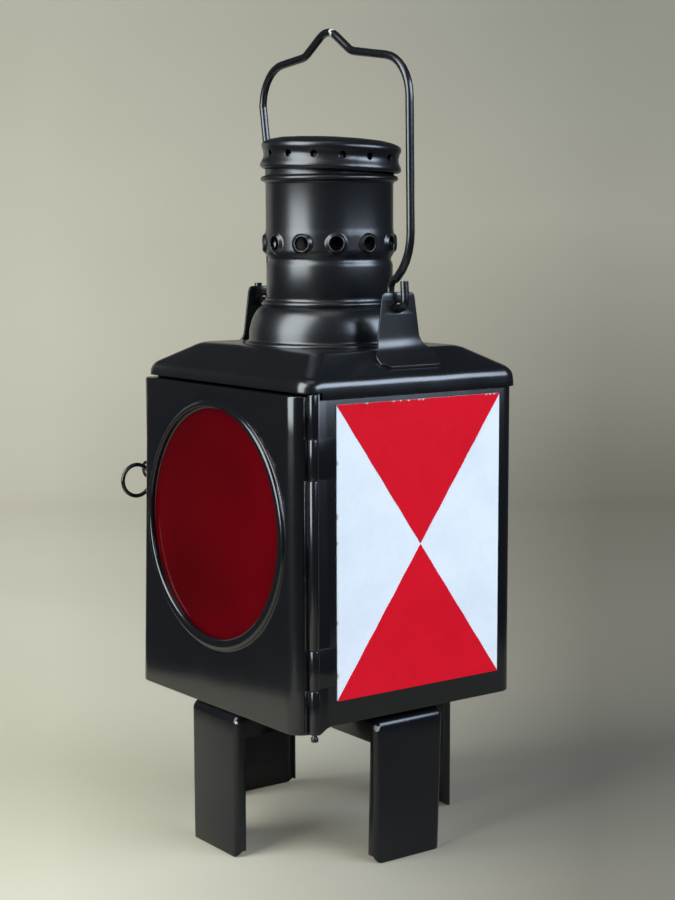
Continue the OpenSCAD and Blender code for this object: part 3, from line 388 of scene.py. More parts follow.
def turned(name, outline, sides=128, closed=False):
    """Raises a ring through an outline of radius and height, as on a lathe."""
    put_down()
    radius, height = outline[0]
    bpy.ops.mesh.primitive_circle_add(vertices=sides, radius=radius, location=(0, 0, height))
    piece = named(name)
    with editing(piece):
        for new_radius, new_height in outline[1:]:
            grow = new_radius / radius
            raise_edge(new_height - height, grow, grow, (0, 0, new_height))
            radius, height = new_radius, new_height
        if closed:
            bpy.ops.mesh.edge_face_add()
    return outward(settle(piece))


def polar(angle, across=1.0, up=None):
    """A place at an angle in degrees on a circle, or on an ellipse."""
    return (across * math.cos(math.radians(angle)),
            (across if up is None else up) * math.sin(math.radians(angle)))


def arc(centre, radii, start, end, steps):
    """Points on an arc, with the angles in degrees and one radius or two."""
    radii = radii if isinstance(radii, tuple) else (radii,)
    points = [polar(start + (end - start) * i / steps, *radii) for i in range(steps + 1)]
    return [(centre[0] + x, centre[1] + y) for x, y in points]


def rounded(corners, spacing=0.004):
    """Points along a bent wire, from corners of x, y and bend radius."""
    points = []
    for i, (x, y, radius) in enumerate(corners):
        here = Vector((x, y))
        if radius == 0:
            points.append(here)
            continue
        before = (Vector(corners[i - 1][:2]) - here).normalized()
        after = (Vector(corners[i + 1][:2]) - here).normalized()
        turn = math.pi - before.angle(after)
        taken = radius * math.tan(turn / 2)
        start, end = here + before * taken, here + after * taken
        centre = here + (before + after).normalized() * radius / math.cos(turn / 2)
        steps = max(4, int(turn / math.radians(9)))
        first, last = (start - centre).normalized(), (end - centre).normalized()
        for k in range(steps + 1):
            points.append(centre + first.slerp(last, k / steps) * radius)
    filled = [points[0]]
    for point in points[1:]:
        gap = (point - filled[-1]).length
        for k in range(1, int(gap / spacing) + 1):
            filled.append(filled[-1].lerp(point, 1 / (int(gap / spacing) + 2 - k)))
        filled.append(point)
    return filled


def wire(name, points, radius, sides=5, thick=None):
    """Bends a round wire along points."""
    put_down()
    data = bpy.data.curves.new(name, "CURVE")
    data.dimensions = "3D"
    data.bevel_depth = radius
    data.bevel_resolution = sides
    data.use_fill_caps = True
    spline = data.splines.new("POLY")
    spline.points.add(len(points) - 1)
    for i, point in enumerate(points):
        spline.points[i].co = (*point, 1)
        spline.points[i].radius = thick(i) if thick else 1.0
    piece = bpy.data.objects.new(name, data)
    bpy.context.scene.collection.objects.link(piece)
    pick(piece)
    bpy.ops.object.convert(target="MESH")
    return bpy.context.object


def eased(name, width, cad_name):
    """Takes the form of a CAD solid and rounds its edges."""
    piece = bpy.data.objects.new(name, nodes[cad_name].data.copy())
    bpy.context.scene.collection.objects.link(piece)
    with editing(piece):
        bpy.ops.mesh.remove_doubles(threshold=0.000005)
        bpy.ops.mesh.dissolve_limited(angle_limit=math.radians(0.6))
    if width:
        soften(piece, width, 2, 28)
    piece.data.name = piece.name
    return piece


def copies_round(piece, count, start):
    """Copies a piece round the upright axis and joins the copies."""
    put_down()
    made = []
    for i in range(count):
        twin = piece.copy()
        twin.data = piece.data.copy()
        bpy.context.scene.collection.objects.link(twin)
        twin.rotation_euler = (0, 0, math.radians(start + 360 * i / count))
        made.append(twin)
    bpy.data.objects.remove(piece, do_unlink=True)
    for twin in made:
        twin.select_set(True)
    bpy.context.view_layer.objects.active = made[0]
    bpy.ops.object.transform_apply(location=True, rotation=True, scale=True)
    bpy.ops.object.join()
    return bpy.context.object


def finished(piece, finish, body, slot_name, *cad_nodes, angle=35):
    """Shades a piece, paints it, and lets it ride and stand for its CAD nodes."""
    shade(piece, angle)
    piece.data.materials.clear()
    piece.data.materials.append(bpy.data.materials[finish])
    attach(piece, body)
    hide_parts(*cad_nodes)


def finished_rows(*rows, change=None):
    """Eases and finishes CAD forms: name, edge width, finish, body, slot and CAD node of each."""
    for name, width, finish, body, slot_name, cad_name in rows:
        piece = eased(name, width, cad_name)
        if change:
            change(piece)
        finished(piece, finish, body, slot_name, cad_name)


class Finish:
    """Builds one node material step by step."""

    def __init__(self, name):
        self.material = bpy.data.materials.get(name) or bpy.data.materials.new(name)
        self.material.use_nodes = True
        self.tree = self.material.node_tree
        self.tree.nodes.clear()
        out = self.node("ShaderNodeOutputMaterial")
        self.shader = self.node("ShaderNodeBsdfPrincipled")
        self.link(self.shader.outputs[0], out.inputs[0])
        self.place = self.node("ShaderNodeTexCoord").outputs["Object"]

    def node(self, kind, **values):
        made = self.tree.nodes.new(kind)
        for key, value in values.items():
            if key in made.inputs:
                made.inputs[key].default_value = value
            else:
                setattr(made, key, value)
        return made

    def link(self, source, target):
        self.tree.links.new(source, target)

    def drive(self, source, socket):
        self.link(source, self.shader.inputs[socket])

    def set(self, **values):
        for key, value in values.items():
            self.shader.inputs[key.replace("_", " ")].default_value = value

    def noise(self, scale, detail=3.0, roughness=0.5, stretch=None):
        made = self.node("ShaderNodeTexNoise", Scale=scale, Detail=detail, Roughness=roughness)
        if stretch:
            mapping = self.node("ShaderNodeMapping")
            mapping.inputs["Scale"].default_value = stretch
            self.link(self.place, mapping.inputs["Vector"])
            self.link(mapping.outputs[0], made.inputs["Vector"])
        else:
            self.link(self.place, made.inputs["Vector"])
        return made.outputs["Fac"]

    def ramp(self, source, *stops):
        made = self.node("ShaderNodeValToRGB")
        while len(made.color_ramp.elements) < len(stops):
            made.color_ramp.elements.new(0.5)
        for element, (position, tint) in zip(made.color_ramp.elements, stops):
            element.position = position
            element.color = (*tint, 1)
        self.link(source, made.inputs[0])
        return made.outputs[0]

    def range(self, source, low, high, start=0.0, end=1.0):
        made = self.node("ShaderNodeMapRange")
        for socket, value in zip(("From Min", "From Max", "To Min", "To Max"), (start, end, low, high)):
            made.inputs[socket].default_value = value
        self.link(source, made.inputs["Value"])
        return made.outputs[0]

    def maths(self, operation, first, second):
        made = self.node("ShaderNodeMath", operation=operation)
        for socket, value in zip(made.inputs, (first, second)):
            if isinstance(value, (int, float)):
                socket.default_value = value
            else:
                self.link(value, socket)
        return made.outputs[0]

    def mix(self, factor, first, second):
        made = self.node("ShaderNodeMix", data_type="RGBA")
        self.link(factor, made.inputs[0])
        for socket, value in ((made.inputs[6], first), (made.inputs[7], second)):
            if isinstance(value, tuple):
                socket.default_value = (*value, 1)
            else:
                self.link(value, socket)
        return made.outputs[2]

    def bump(self, source, distance, strength=1.0, under=None):
        made = self.node("ShaderNodeBump", Strength=strength, Distance=distance)
        self.link(source, made.inputs["Height"])
        if under is not None:
            self.link(under, made.inputs["Normal"])
        return made.outputs[0]

    def measure(self, operation, point):
        """Distance from a point, or distance along a direction."""
        made = self.node("ShaderNodeVectorMath", operation=operation)
        self.link(self.place, made.inputs[0])
        made.inputs[1].default_value = point
        return made.outputs["Value"]

    def chips(self, places, ragged):
        """A mask that is 1 in round chips with ragged edges, or None without any."""
        mask = None
        for centre, radius in places:
            wobble = self.range(self.noise(1.2 / radius, 3), -ragged * radius, ragged * radius)
            away = self.maths("ADD", self.measure("DISTANCE", centre), wobble)
            spot = self.range(away, 1.0, 0.0, radius * 0.85, radius)
            mask = spot if mask is None else self.maths("MAXIMUM", mask, spot)
        return mask

    def edges(self, width):
        """A mask of the worn outer edges."""
        bevel = self.node("ShaderNodeBevel", samples=6, Radius=width)
        true = self.node("ShaderNodeNewGeometry").outputs["True Normal"]
        dot = self.node("ShaderNodeVectorMath", operation="DOT_PRODUCT")
        self.link(bevel.outputs[0], dot.inputs[0])
        self.link(true, dot.inputs[1])
        return bevel.outputs[0], dot.outputs["Value"]


def shades(base, *factors):
    """Lighter and darker forms of a colour."""
    return [tuple(min(c * f, 1) for c in base) for f in factors]


def paint_finish(name="black_paint", rough=(0.15, 0.21), waves=0.0006, gloss=0.6, chips=()):
    """Semi gloss black paint: faint orange peel, slow waves, dust, rubbed edges and chips."""
    made = Finish(name)
    dust_grey, worn_grey, primer = (0.045, 0.045, 0.045), (0.085, 0.085, 0.09), (0.40, 0.38, 0.34)
    low, mid, high = shades(bpy.context.scene.lamp_colours.paint, 0.9, 1.0, 1.25)
    tint = made.ramp(made.noise(30, 4), (0.3, low), (0.55, mid), (0.85, high))
    dust = made.range(made.noise(2600, 2, 0.5), 0.0, 1.0, 0.74, 0.78)
    tint = made.mix(dust, tint, dust_grey)
    rub = made.range(made.noise(140, 4, 0.7, (1, 1, 1)), 0.0, 1.0, 0.56, 0.72)
    bevel, facing = made.edges(0.0007)
    worn = made.maths("MULTIPLY", made.range(facing, 1.0, 0.0, 0.90, 0.97), rub)
    tint = made.mix(worn, tint, worn_grey)
    rough_map = made.range(made.noise(45, 5, 0.6), *rough)
    bare = made.chips(chips, 0.8)
    if bare is not None:
        tint = made.mix(bare, tint, primer)
        rough_map = made.maths("MAXIMUM", rough_map, made.range(bare, 0.0, 0.42))
    made.drive(tint, "Base Color")
    made.drive(rough_map, "Roughness")
    slow = made.bump(made.noise(14, 1.0, 0.4), waves, 1.0, bevel)
    made.drive(made.bump(made.noise(1100, 2, 0.5), 0.000004, 0.5, slow), "Normal")
    made.set(IOR=1.5, Specular_IOR_Level=gloss)


def metal_finish(name, tint, rough, grain=None, tarnish=0.35):
    """Bare metal with drawn grain, stains and tarnish."""
    made = Finish(name)
    dark, base, bright = shades(tint, 1 - tarnish, 1.0, 1.12)
    blotch = made.ramp(made.noise(60, 6, 0.6), (0.3, dark), (0.55, base), (0.75, bright))
    stain = made.range(made.noise(18, 4, 0.65), 0.0, 0.55, 0.55, 0.75)
    made.drive(made.mix(stain, blotch, shades(tint, 0.35)[0]), "Base Color")
    made.drive(made.range(made.noise(90, 4, 0.6), *rough), "Roughness")
    made.drive(made.bump(made.noise(700, 3, 0.6, grain), 0.00002, 0.4), "Normal")
    made.set(Metallic=1.0)


def glass_finish():
    """Deep red pot glass, glossy, with slow flow lines, a painted shade on its upper left side and a painted
    shade round its rim by the bead.
    """
    made = Finish("red_glass")
    lens = bpy.context.scene.lamp_door
    deep, base, lit = shades(bpy.context.scene.lamp_colours.glass, 0.5, 1.0, 1.1)
    cloud = made.ramp(made.noise(7, 1.5), (0.3, deep), (0.5, base), (0.75, lit))
    shadow = made.measure("DISTANCE", (-0.05, -lens.front, lens.lens_z + 0.065))
    cloud = made.mix(made.range(shadow, 0.85, 0.0, 0.02, 0.13), cloud, deep)
    # painted shade: the glass is darkened towards the edge of the opening, round its rim by the bead
    away = made.measure("DISTANCE", (0, -lens.front, lens.lens_z))
    rim = made.range(away, 0.0, 0.6, lens.bead_in - 0.012, lens.bead_in)
    made.drive(made.mix(rim, cloud, deep), "Base Color")
    made.drive(made.range(made.noise(160, 4, 0.6), 0.05, 0.12), "Roughness")
    made.drive(made.bump(made.noise(24, 1.0), 0.0002, 0.3), "Normal")
    made.set(IOR=1.45, Specular_IOR_Level=0.15, Transmission_Weight=0.2)


def enamel_finish(name, tint, chips):
    """Glossy enamel with faint mottling, scuffs and chips."""
    made = Finish(name)
    low, base, high = shades(tint, 0.93, 1.0, 1.03)
    cloud = made.ramp(made.noise(26, 5, 0.6), (0.3, low), (0.55, base), (0.8, high))
    scuff = made.range(made.noise(420, 5, 0.75, (1, 3, 0.4)), 0.0, 0.5, 0.66, 0.74)
    cloud = made.mix(scuff, cloud, shades(tint, 0.72)[0])
    ground_coat = (0.52, 0.46, 0.36)
    made.drive(made.mix(made.chips(chips, 0.7), cloud, ground_coat), "Base Color")
    made.drive(made.range(made.noise(120, 5, 0.6), 0.22, 0.32), "Roughness")
    made.drive(made.bump(made.noise(420, 2), 0.00001, 0.3), "Normal")
    made.set(Specular_IOR_Level=0.22)


def fibre_finish(name, tint, stretch=None):
    """Soft fibres, as on felt and cotton."""
    made = Finish(name)
    low, base, high = shades(tint, 0.7, 1.0, 1.15)
    cloud = made.ramp(made.noise(500, 5, 0.7, stretch), (0.3, low), (0.5, base), (0.7, high))
    made.drive(cloud, "Base Color")
    made.drive(made.bump(made.noise(900, 4, 0.7, stretch), 0.0003, 0.6), "Normal")
    made.set(Roughness=0.95, Sheen_Weight=0.25)


class LAMP_OT_finishes(bpy.types.Operator):
    """Make the finishes and give each CAD node its own"""

    bl_idname = "lamp.finishes"
    bl_label = "Finishes"

    def execute(self, context):
        colours = context.scene.lamp_colours
        size = context.scene.lamp_body
        paint_finish()
        paint_finish("roof_paint", (0.20, 0.28), 0.003)
        paint_finish("chimney_paint", (0.26, 0.33), 0.0008)
        paint_finish("door_paint", (0.15, 0.21), 0.0008)
        worn_peak = (0.0073, size.pivot_y, size.pivot_z + size.bail_h - 0.0035)
        paint_finish("wire_paint", (0.20, 0.30), 0.0, chips=[(worn_peak, 0.0033)])
        foot_chips = [((0.0935, -0.0285, 0.0968), 0.0022), ((0.0265, -0.1006, 0.0975), 0.0010),
                      ((0.012, -0.1025, 0.058), 0.0006)]
        paint_finish("foot_paint", (0.18, 0.26), 0.0008, 0.35, foot_chips)
        glass_finish()
        left_edge, middle, gap, steps = (0.1035, -0.0695), 0.232, 0.018, (-5, -3, 0, 1, 3)
        left_chips = [((*left_edge, middle + gap * i), 0.0016 + 0.0005 * (i % 3)) for i in steps]
        enamel_finish("white_enamel", colours.white, left_chips)
        along_top = (-0.0445, -0.022, -0.016, -0.009, 0.0, 0.0035, 0.060, 0.0635, 0.067)
        face, top_edge, chip_r = 0.1038, 0.3250, 0.0013
        top_chips = [((face, y, top_edge), chip_r) for y in along_top]
        enamel_finish("red_enamel", colours.red, top_chips)
        drawn_along = (6, 1, 1)
        metal_finish("brass", (0.60, 0.42, 0.16), (0.22, 0.45))
        metal_finish("steel", (0.42, 0.41, 0.40), (0.28, 0.5), (1, 1, 6))
        metal_finish("tinplate", (0.52, 0.52, 0.50), (0.25, 0.42), drawn_along)
        # dark tin: soot, and painted shade for the inside of the chimney seen through the vents
        metal_finish("sooty_tin", (0.05, 0.047, 0.043), (0.5, 0.7), drawn_along)
        metal_finish("silvered", (0.80, 0.80, 0.78), (0.05, 0.12), None, 0.1)
        fibre_finish("felt", (0.03, 0.028, 0.025))
        fibre_finish("cotton", (0.62, 0.55, 0.42), (2.5, 2.5, 1))
        slots = {part["node"]: part["material_slot"] for part in frame["record"]["subparts"]}
        # the draught tube gets the dark tin, whose darkness is partly soot and partly painted shade
        slots["draught_tube"] = "sooty_tin"
        for name, node in nodes.items():
            node.data.materials.clear()
            node.data.materials.append(bpy.data.materials[slots[name]])
        return {"FINISHED"}


class LAMP_OT_stage(bpy.types.Operator):
    """Set up the camera, the pale floor and the soft lights"""

    bl_idname = "lamp.stage"
    bl_label = "Stage"

    def execute(self, context):
        scene = context.scene
        scene.view_settings.view_transform = "Standard"
        data = bpy.data.cameras.new("camera")
        data.sensor_fit = "VERTICAL"
        data.sensor_height = 36.0
        data.lens = CAMERA_LENS
        data.clip_end = 50
        camera = bpy.data.objects.new("camera", data)
        scene.collection.objects.link(camera)
        camera.location = CAMERA_PLACE
        camera.rotation_euler = [math.radians(a) for a in (90 - CAMERA_DOWN, CAMERA_ROLL, CAMERA_AZIMUTH)]
        scene.camera = camera
        self.backdrop(context)
        self.lights(context)
        return {"FINISHED"}

    def backdrop(self, context):
        """A sweep of pale paper behind the lamp, with painted shade darkening it to the right, most on the
        floor, and a painted glow seen by the camera and in reflections.
        """
        cosine, sine = polar(CAMERA_AZIMUTH)
        side, away = Vector((cosine, sine, 0)), Vector((-sine, cosine, 0))
        bend, start, narrow, wide = 0.95, 1.5, 0.44, 1.2
        stations = [(-0.6, 0.0, narrow), (0.5, 0.0, narrow), (start, 0.0, 1.0)]
        stations += [(out, up, wide) for out, up in arc((start, bend), bend, -83, -6, 11)]
        stations.append((start + bend, bend + 0.08, wide))
        middles = [(away * out + Vector((0, 0, up)), side * half) for out, up, half in stations]
        floor = drawn("floor", [(middle - half, middle + half) for middle, half in middles])
        outward(floor, (0, 0, 1))
        shade(floor, 60)
        made = Finish("backdrop")
        low, base = shades(context.scene.lamp_colours.floor, 0.96, 1.0)
        across, behind = made.measure("DOT_PRODUCT", side), made.measure("DOT_PRODUCT", away)
        up = made.measure("DOT_PRODUCT", (0, 0, 1))
        cloud = made.ramp(made.noise(3, 3), (0.3, low), (0.7, base))
        # painted shade: the paper is darkened to the right, most of all low down on the floor
        spread = made.maths("DIVIDE", across, made.maths("ADD", behind, CAMERA_BACK))
        loss = made.maths("MULTIPLY", made.range(spread, 0.0, 1.0, -0.16, 0.15),
                          made.range(up, 0.66, 0.34, 0.0, 0.45))
        dim = made.maths("SUBTRACT", 1.0, loss)
        tone = made.node("ShaderNodeVectorMath", operation="SCALE")
        made.link(cloud, tone.inputs[0])
        made.link(dim, tone.inputs["Scale"])
        made.drive(tone.outputs[0], "Base Color")
        made.set(Roughness=0.95, Specular_IOR_Level=0.1)
        # painted light: the paper glows for the camera and in reflections, more towards the back and less
        # higher up
        rays = made.node("ShaderNodeLightPath").outputs
        mirrored = made.maths("MAXIMUM", rays["Is Glossy Ray"], rays["Is Transmission Ray"])
        seen = made.maths("MAXIMUM", rays["Is Camera Ray"], mirrored)
        far = made.maths("MULTIPLY", made.range(behind, 0.16, 0.37, -0.1, 1.4),
                         made.range(up, 1.0, 0.3, 0.15, 0.85))
        made.drive(tone.outputs[0], "Emission Color")
        made.drive(made.maths("MULTIPLY", seen, far), "Emission Strength")
        floor.data.materials.append(made.material)

    def lights(self, context):
        """A tall key at the left, a cool window behind the right side, two small fills and a dim room."""
        world = context.scene.world or bpy.data.worlds.new("room")
        context.scene.world = world
        world.use_nodes = True
        ground = world.node_tree.nodes["Background"]
        ground.inputs["Color"].default_value = (0.9, 0.95, 1.0, 1)
        ground.inputs["Strength"].default_value = 0.04
        for name, azimuth, elevation, distance, size, power, tint in (
            ("key", -2, 28, 2.4, (1.7, 2.8), 150, (0.88, 0.96, 1.0)),
            ("cool_window", 114, 26, 2.6, (2.5, 1.1), 108, (0.68, 0.81, 1.0)),
            ("top", 40, 74, 2.2, (1.0, 1.0), 4, (1.0, 0.97, 0.92)),
            ("left_fill", -84, 8, 1.8, (0.8, 0.8), 1.0, (1.0, 0.98, 0.94)),
        ):
            data = bpy.data.lights.new(name, "AREA")
            data.shape = "RECTANGLE"
            data.size, data.size_y = size
            data.energy = power
            data.color = tint
            lamp = bpy.data.objects.new(name, data)
            context.scene.collection.objects.link(lamp)
            lamp.location, lamp.rotation_euler = self.facing(azimuth, elevation, distance)

    def facing(self, azimuth, elevation, distance):
        """Place and turn of something that faces the lamp."""
        a, e = math.radians(azimuth), math.radians(elevation)
        towards = Vector((math.sin(a) * math.cos(e), -math.cos(a) * math.cos(e), math.sin(e)))
        return LIGHTS_AIM + towards * distance, (-towards).to_track_quat("-Z", "Y").to_euler()


class LAMP_OT_case(bpy.types.Operator):
    """Fold the case: back, sides, front flanges and the tabs of the front corners"""

    bl_idname = "lamp.case"
    bl_label = "Case"

    def execute(self, context):
        size = context.scene.lamp_body
        half, front, back = size.half, size.front, size.back
        side = [(half - size.lip, -front)]
        side += arc((half - size.fold_r, -front + size.fold_r), size.fold_r, 270, 360, 6)
        side += [(half, y) for y in (-0.077, -0.0725, -0.05, -0.025, 0.0, 0.025, 0.05)]
        side += arc((half - size.back_r, back - size.back_r), size.back_r, 0, 90, 10)
        plan = side + [(0.0, back)] + [(-x, y) for x, y in reversed(side)]
        case = drawn("case_walls", [((x, y, size.wall_low), (x, y, size.wall_high)) for x, y in plan])
        low, tab_end = size.wall_low + HAIR, -0.0724
        with editing(case):
            choose(case, "EDGE", lambda a, b: max(a.z, b.z) < low and max(a.y, b.y) < tab_end)
            draw_out(case, lambda co: Vector((co.x, co.y, self.tab(size, co.y))))
        outward(case, (0, 1, 0))
        wall(case, size.sheet)
        soften(case, 0.00025)
        finished(case, "black_paint", "lamp", "black_paint", "case_shell")
        return {"FINISHED"}

    def tab(self, size, y):
        """Height of the lower edge near the front corners."""
        in_from_front = y + size.front
        rise = size.wall_low - size.tab_low
        for start, end, low, high in ((0.0032, 0.009, 0.0, 0.78), (0.009, 0.0135, 0.78, 1.0)):
            if in_from_front <= end:
                share = max(0.0, (in_from_front - start) / (end - start))
                return size.tab_low + rise * (low + (high - low) * share)
        return size.wall_low


class LAMP_OT_roof(bpy.types.Operator):
    """Press the roof: skirt, sloped shoulders and flat top"""

    bl_idname = "lamp.roof"
    bl_label = "Roof"

    def execute(self, context):
        size = context.scene.lamp_body
        half_y = (size.roof_front + size.roof_back) / 2
        mid_y = (size.roof_back - size.roof_front) / 2
        put_down()
        bpy.ops.mesh.primitive_plane_add(size=2, location=(0, mid_y, size.skirt_low))
        roof = named("roof_pressed")
        roof.scale = (size.roof_half, half_y, 1)
        settle(roof)
        with editing(roof):
            bpy.ops.mesh.bevel(offset=size.roof_corner, segments=10, affect="VERTICES")
            bpy.ops.mesh.select_all(action="SELECT")
            bpy.ops.mesh.delete(type="ONLY_FACE")
            bpy.ops.mesh.select_all(action="SELECT")
            inset, height = 0.0, size.skirt_low
            for new_inset, new_height in self.outline(size):
                grow_x = (size.roof_half - new_inset) / (size.roof_half - inset)
                grow_y = (half_y - new_inset) / (half_y - inset)
                raise_edge(new_height - height, grow_x, grow_y, (0, mid_y, new_height))
                inset, height = new_inset, new_height
            bpy.ops.mesh.edge_face_add()
        edge, cut_y = size.skirt_low + size.skirt_cut, -0.0815
        with editing(roof):
            score((0, 1, 0), cut_y)
            delete_faces(roof, lambda c, n: c.z < edge and c.y < cut_y)
        outward(roof, (0, 0, 1))
        wall(roof, size.sheet)
        flue_r = context.scene.lamp_chimney.tube_r - 0.0023
        cut(roof, drill(flue_r, 0.02, (0, 0, size.roof_top), UPRIGHT, 96))
        soften(roof, 0.0003)
        finished(roof, "roof_paint", "lamp", "black_paint", "roof_hood", angle=40)
        return {"FINISHED"}

    def outline(self, size):
        """Inset and height of the pressing, from the skirt to the flat top."""
        turn = 90 - math.degrees(size.shoulder_slope)
        nx, nz = polar(turn)
        low, high, lean = size.edge_low_r, size.edge_top_r, 0.0004
        rise = size.roof_top - size.skirt_high
        flat_in = (high + (rise - high) * nz - (low - low * nx)) / nx
        points = [(lean / 2, size.skirt_low + size.skirt_cut), (lean, size.skirt_high)]
        points += arc((lean + low, size.skirt_high), low, 180 - turn / 8, 180 - turn, 7)
        return points + arc((flat_in, size.roof_top - high), high, 180 - turn, 90, 8)


class LAMP_OT_feet(bpy.types.Operator):
    """Fold the four channel feet with their gussets and straps"""

    bl_idname = "lamp.feet"
    bl_label = "Feet"

    def execute(self, context):
        size = context.scene.lamp_foot
        for name, at, shift, quarters, lean, flange in (
            ("right", 0.0956, 0.0, 0, 0.003, 0.0105),
            ("back", 0.0926, 0.0, 1, 0.0, 0.008),
            ("left", 0.0952, 0.002, 2, 0.0, 0.008),
            ("front", 0.102, -0.002, 3, 0.0, 0.008),
        ):
            foot = self.fold(size, name, at, shift, lean, flange)
            settle(foot, (0, 0, math.radians(90 * quarters)))
            finished(foot, "foot_paint", "lamp", "black_paint", "foot_" + name)
        return {"FINISHED"}

    def fold(self, size, name, at, shift, lean, flange):
        """Folds one foot on the +X side: web and strap, then its flanges and gussets."""
        web = size.width / 2 - size.fold
        high, bend = size.height, size.bend
        gusset_z = high - size.gusset
        run = [(0.0, z) for z in (0.0, 0.022, 0.044, 0.066, gusset_z, high - bend)]
        run += arc((bend, high - bend), bend, 165, 90, 5)
        run += [(bend + 0.012, high), (at - size.strap_end, high)]
        rails = [((at - u, shift - web, z), (at - u, shift + web, z)) for u, z in run]
        foot = drawn("foot_folded_" + name, rails)
        steps = 5

        def to_flange(co):
            if co.z <= gusset_z + HAIR:
                depth = size.flange + (flange - size.flange) * (1 - co.z / gusset_z) * (co.y < shift)
                return Vector((at - depth, co.y, co.z))
            return Vector((min(co.x, at - size.flange), co.y, gusset_z))

        def round_corner(co):
            past = abs(co.y - shift) - (size.width / 2 - size.corner)
            rise = size.corner - math.sqrt(max(size.corner ** 2 - past ** 2, 0)) if past > 0 else 0.0
            return Vector((co.x, co.y, rise))

        with editing(foot):
            choose(foot, "EDGE", lambda a, b: abs(a.y - b.y) < HAIR)
            for k in range(1, steps + 1):
                turn, last = math.radians(90 * k / steps), math.radians(90 * (k - 1) / steps)
                inwards = size.fold * (math.cos(last) - math.cos(turn))
                out = web + size.fold * math.sin(turn)
                draw_out(foot, lambda co: self.inward(
                    co, size, at, inwards, shift + math.copysign(out, co.y - shift)))
            draw_out(foot, to_flange)
            choose(foot, "VERT", lambda co: co.z < HAIR)
            move_chosen(foot, round_corner)
        reshape(foot, lambda co: co - Vector((0, lean * (1 - co.z / high) * (co.y > shift), 0)))
        outward(foot, (1, 0, 0))
        wall(foot, size.sheet)
        return soften(foot, 0.00025)

    def inward(self, co, size, at, step, y):
        """Moves a point of the fold in from the web, round the bend or down from the strap."""
        depth = at - co.x
        near = 0.00001
        if co.z <= size.height - size.bend + near:
            return Vector((co.x - step, y, co.z))
        if depth >= size.bend - near:
            return Vector((co.x, y, co.z - step))
        centre = Vector((at - size.bend, 0, size.height - size.bend))
        flat = Vector((co.x, 0, co.z))
        moved = flat + (centre - flat).normalized() * step
        return Vector((moved.x, y, moved.z))


class LAMP_OT_door(bpy.types.Operator):
    """Press the door with its rolled bead, and set the glass with its ring"""

    bl_idname = "lamp.door"
    bl_label = "Door"

    def execute(self, context):
        size = context.scene.lamp_door
        sheet = context.scene.lamp_body.sheet
        pan = joined(self.pan(size), self.bead(size))
        outward(pan, (0, -1, 0))
        wall(pan, sheet)
        soften(pan, 0.00025, 2, 55)
        self.spring(pan, size)
        finished(pan, "door_paint", "door", "black_paint", "door_pan", angle=40)
        glass = self.glass(size)
        self.spring(glass, size)
        finished(glass, "red_glass", "door", "red_glass", "lens_glass")
        finished_rows(
            ("glass_seat", 0, "felt", "door", "felt", "lens_gasket"),
            ("glass_ring", 0.0002, "black_paint", "door", "black_paint", "lens_retainer"),
            ("ring_studs", 0.0002, "steel", "door", "steel", "retainer_studs"),
            ("ring_nuts", 0.0003, "steel", "door", "steel", "retainer_nuts"),
            change=lambda piece: self.spring(piece, size),
        )
        return {"FINISHED"}

    def pan(self, size):
        """The pan: a box without its back, with two long rounded edges and a round opening."""
        corner = Vector((-size.left, -size.front, size.low))
        pan = block("door_pressed", corner, Vector((size.right, -size.back, size.high)))
        face, flange, hem = -size.front + HAIR, -size.back - 0.001, 0.0011
        inner_low, inner_high = size.low + 0.001, size.high - 0.001
        with editing(pan):
            bevel_edges(pan, lambda a, b: max(a.y, b.y) < face and abs(a.x - b.x) < 0.001, size.edge_r, 12)
            delete_faces(pan, lambda c, n: n.y > 0.9)
            bevel_edges(pan, lambda a, b: abs(a.z - b.z) < HAIR and max(a.y, b.y) < flange
                        and not inner_low <= a.z <= inner_high, hem, 3)
            score((0, 0, 1), 0.135, 0.165, 0.195, 0.225, 0.255, 0.285, 0.305)
            score((1, 0, 0), -0.06, -0.02, 0.02, 0.06)
        hole = drill(size.bead_out + 0.0012, 0.006, (0, -size.front, size.lens_z), TO_FRONT, 128)
        return cut(pan, hole)

    def bead(self, size):
        """The rolled bead: out of the face, over its crest and back to the glass."""
        face, outer, inner = size.front, size.bead_out, size.bead_in
        crest = face + 0.0026
        outline = [(outer + 0.0012, face), (outer + 0.0004, face + 0.0001), (outer - 0.0001, face + 0.0004)]
        outline += arc((outer - 0.0026, crest - 0.0020), (0.0024, 0.0020), 10, 90, 5)
        outline += arc((inner + 0.0016, crest - 0.0016), 0.0016, 100, 180, 5)
        outline += [(inner - 0.0001, face - 0.0002), (inner + 0.0002, face - 0.0016)]
        bead = turned("door_bead", outline)

        def off_centre(co):
            share = (outer - 0.001 - co.xy.length) / (outer - inner - 0.001)
            share = max(0.0, min(1.0, share))
            return Vector((co.x - 0.0008 * share, co.y + 0.0019 * share, co.z))

        reshape(bead, off_centre)
        return settle(bead, TO_FRONT, (0, 0, size.lens_z))

    def glass(self, size):
        """The glass: a disc with a ground rim and a low crown."""
        front, r, pole = size.front - 0.002, size.glass_r, 0.0006
        rise = 0.96 * size.crown
        outline = [(pole, front - 0.004), (r - 0.0005, front - 0.004), (r, front - 0.0035),
                   (r, front - 0.0004), (r - 0.0004, front)]
        outline += arc((0, front), (r, rise), 10, 82, 9) + [(pole, front + rise)]
        glass = turned("red_lens", outline, 128, True)
        with editing(glass):
            choose(glass, "EDGE", lambda a, b: max(a.xy.length, b.xy.length) < 0.001 and a.z < front)
            bpy.ops.mesh.edge_face_add()
        return outward(settle(glass, TO_FRONT, (0, 0, size.lens_z)))

    def spring(self, piece, size):
        """Springs the lower free corner off the case, as on the bent door."""
        still = 0.285

        def sprung(co):
            across = max(0.0, (size.right - co.x) / (size.right + size.left))
            down = max(0.0, min(1.0, (still - co.z) / (still - size.low)))
            return Vector((co.x, co.y - size.sprung * across * down, co.z))

        reshape(piece, sprung)


